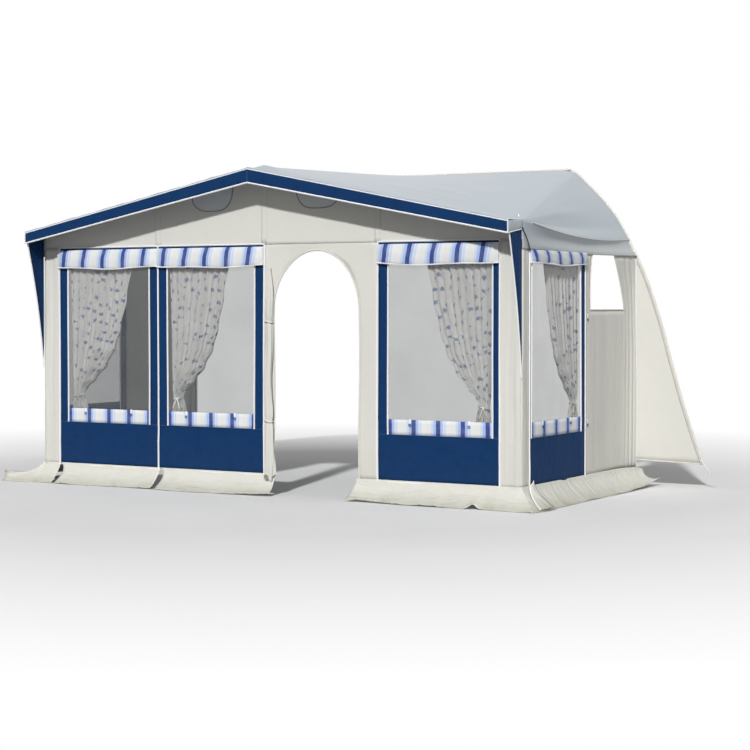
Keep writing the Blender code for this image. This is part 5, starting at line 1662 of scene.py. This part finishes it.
def makeTurned(name, profile, start, end, body="awning", replaces=()):
    # rings at distances from the start, each with its own radius
    along = (end - start).normalized()
    side = along.orthogonal().normalized()
    other = along.cross(side)
    turns = spread(0, 2 * pi, tube["sides"])[:-1]
    rings = [[start + along * run + (side * cos(turn) + other * sin(turn)) * size for turn in turns]
             for run, size in profile]
    return dress(loft(name, rings), steel, body, replaces)


def makePole(name, body="awning"):
    # straight tube with rolled ends and a groove near its start, between the ends of its solid
    points = pointsOf(name)
    low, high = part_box(name)
    axis = max(range(3), key=lambda k: high[k] - low[k])
    start = middleOf([p for p in points if p[axis] < low[axis] + tube["endReach"]])
    end = middleOf([p for p in points if p[axis] > high[axis] - tube["endReach"]])
    along = (end - start).normalized()
    radius = max(((p - start) - along * (p - start).dot(along)).length for p in points)
    length, lip, inner = (end - start).length, tube["lip"], radius - tube["groove"]
    sizes = (radius, inner, inner, radius)
    profile = [(0.0, radius - lip), (lip, radius), *zip(tube["grooveEdges"], sizes), (length - lip, radius),
               (length, radius - lip)]
    makeTurned("round_" + name, profile, start, end, body, (name,))


def makeUpright(name, body="awning", keep=lambda z: True):
    # upright tube with its collars and foot, turned from the reach of its solid at each height
    points = pointsOf(name)
    centre = footOf(points)
    levels = {}
    for p in points:
        if keep(p.z):
            levels.setdefault(round(p.z, 4), []).append(hypot(p.x - centre.x, p.y - centre.y))
    heights, lip, profile = sorted(levels), tube["lip"], []
    widest = [max(levels[z]) for z in heights] + [0.0]
    before = 0.0
    for z, reach, following in zip(heights, widest, widest[1:]):
        run = z - heights[0]
        if reach > before:
            profile += [(run, reach - lip), (run + lip, reach)]
            before = reach
        if following < reach - tube["step"]:
            profile += [(run - lip, reach), (run, reach - lip)]
            before = reach - lip
            if following:
                profile += [(run + tube["seat"], following + lip), (run + lip, following)]
                before = following
    foot, top = Vector((centre.x, centre.y, heights[0])), Vector((centre.x, centre.y, heights[-1]))
    makeTurned("turned_" + name, profile, foot, top, body, (name,))


def makeKnob(name, body):
    # three-lobed knob with rounded faces and a screw end in its middle
    low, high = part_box(name)
    outline = {(round(p.x, 5), round(p.z, 5)) for p in pointsOf(name) if p.y < low.y + tube["step"]}
    middleX, middleZ = (sum(p[k] for p in outline) / len(outline) for k in (0, 1))
    reaches = [hypot(x - middleX, z - middleZ) for x, z in outline]
    mean, lobe = (max(reaches) + min(reaches)) / 2, (max(reaches) - min(reaches)) / 2
    rings = []
    for deep, share in knob["profile"]:
        y, depth = between(low.y, high.y, deep), lobe * (share > knob["round"])
        ring = []
        for angle in spread(0, 2 * pi, knob["around"])[:-1]:
            reach = (mean + depth * cos(knob["lobes"] * angle)) * share
            ring.append(Vector((middleX + reach * sin(angle), y, middleZ + reach * cos(angle))))
        rings.append(ring)
    dress(loft("moulded_" + name, rings), blackPlastic, body, (name,))


def makePad(suffix):
    # rubber pad on its short arm behind the rear upright
    points = pointsOf("rear_upright_" + suffix)
    centre = footOf(points)
    found = [p for p in points if pad["below"] < p.z < pad["above"] and p.y > centre.y + pad["behind"]]
    low, high = (Vector([reach(p[k] for p in found) for k in range(3)]) for reach in (min, max))
    low.y = high.y - pad["thickness"]
    deselect()
    bpy.ops.mesh.primitive_cube_add(size=1, location=(0, 0, 0))
    piece = bpy.context.object
    piece.name = piece.data.name = "rubber_pad_" + suffix
    for vertex in piece.data.vertices:
        vertex.co = Vector([low[k] if vertex.co[k] < 0 else high[k] for k in range(3)])
    applyModifier(piece, "BEVEL", width=pad["rounding"], segments=4)
    bpy.ops.object.shade_smooth()
    dress(piece, blackPlastic)
    height = (low.z + high.z) / 2
    arm = [Vector((centre.x, centre.y, height)), Vector((centre.x, low.y + pad["armIn"], height))]
    trim("pad_arm_" + suffix, arm, pad["arm"], steel)


def makeHoop():
    # round bar under the canopy's front edge, with its three arms
    points = pointsOf("canopy_hoop")
    low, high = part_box("canopy_hoop")
    end = [p for p in points if p.x > high.x - onEdge]
    middle = middleOf(end)
    radius = (max(p.z for p in end) - min(p.z for p in end)) / 2
    line = [Vector((low.x, middle.y, middle.z)), Vector((0, middle.y, high.z - radius)),
            Vector((high.x, middle.y, middle.z))]
    pieces = [tubeAlong("bar", line, radius, tube["barSides"])]
    arms = []
    for p in sorted((p for p in points if p.y > high.y - onEdge), key=lambda p: p.x):
        if arms and p.x - arms[-1][-1].x < tube["apart"]:
            arms[-1].append(p)
        else:
            arms.append([p])
    for arm in arms:
        place, level = round(sum(p.x for p in arm) / len(arm), 3), sum(p.z for p in arm) / len(arm)
        reach = (max(p.x for p in arm) - min(p.x for p in arm)) / 2
        ends = [Vector((place, middle.y, level)), Vector((place, high.y, level))]
        pieces.append(tubeAlong("arm", ends, reach, tube["barSides"]))
    dress(joined("round_canopy_hoop", pieces), steel, replaces=("canopy_hoop",))


for name in ("rafter_left", "rafter_right", "roof_pole_left", "roof_pole_right", "ridge_pole_outer"):
    makePole(name)
makePole("ridge_pole_inner", "ridge_slider")
for place in ("left", "centre", "right"):
    makeUpright("leg_tube_" + place)
    makeUpright("leg_extension_" + place, place + "_foot")
    makeKnob("clamp_knob_" + place, place + "_knob")
for side, suffix in sides:
    makeUpright("rear_upright_" + suffix, keep=lambda z: not pad["below"] < z < pad["above"])
    makePad(suffix)
makeHoop()
print("poles, legs and knobs ready")

# The solids of the frame and the fittings get their finish too
finishes = ((steel, ("leg_", "rafter", "roof_pole", "ridge_pole", "rear_upright", "canopy_hoop", "zip")),
            (blackPlastic, ("apex", "clamp")), (creamEdge, ("rail_bead",)))
for material, starts in finishes:
    for name, piece in nodes.items():
        if name.startswith(starts):
            piece.data.materials.clear()
            piece.data.materials.append(material)

print("finished")
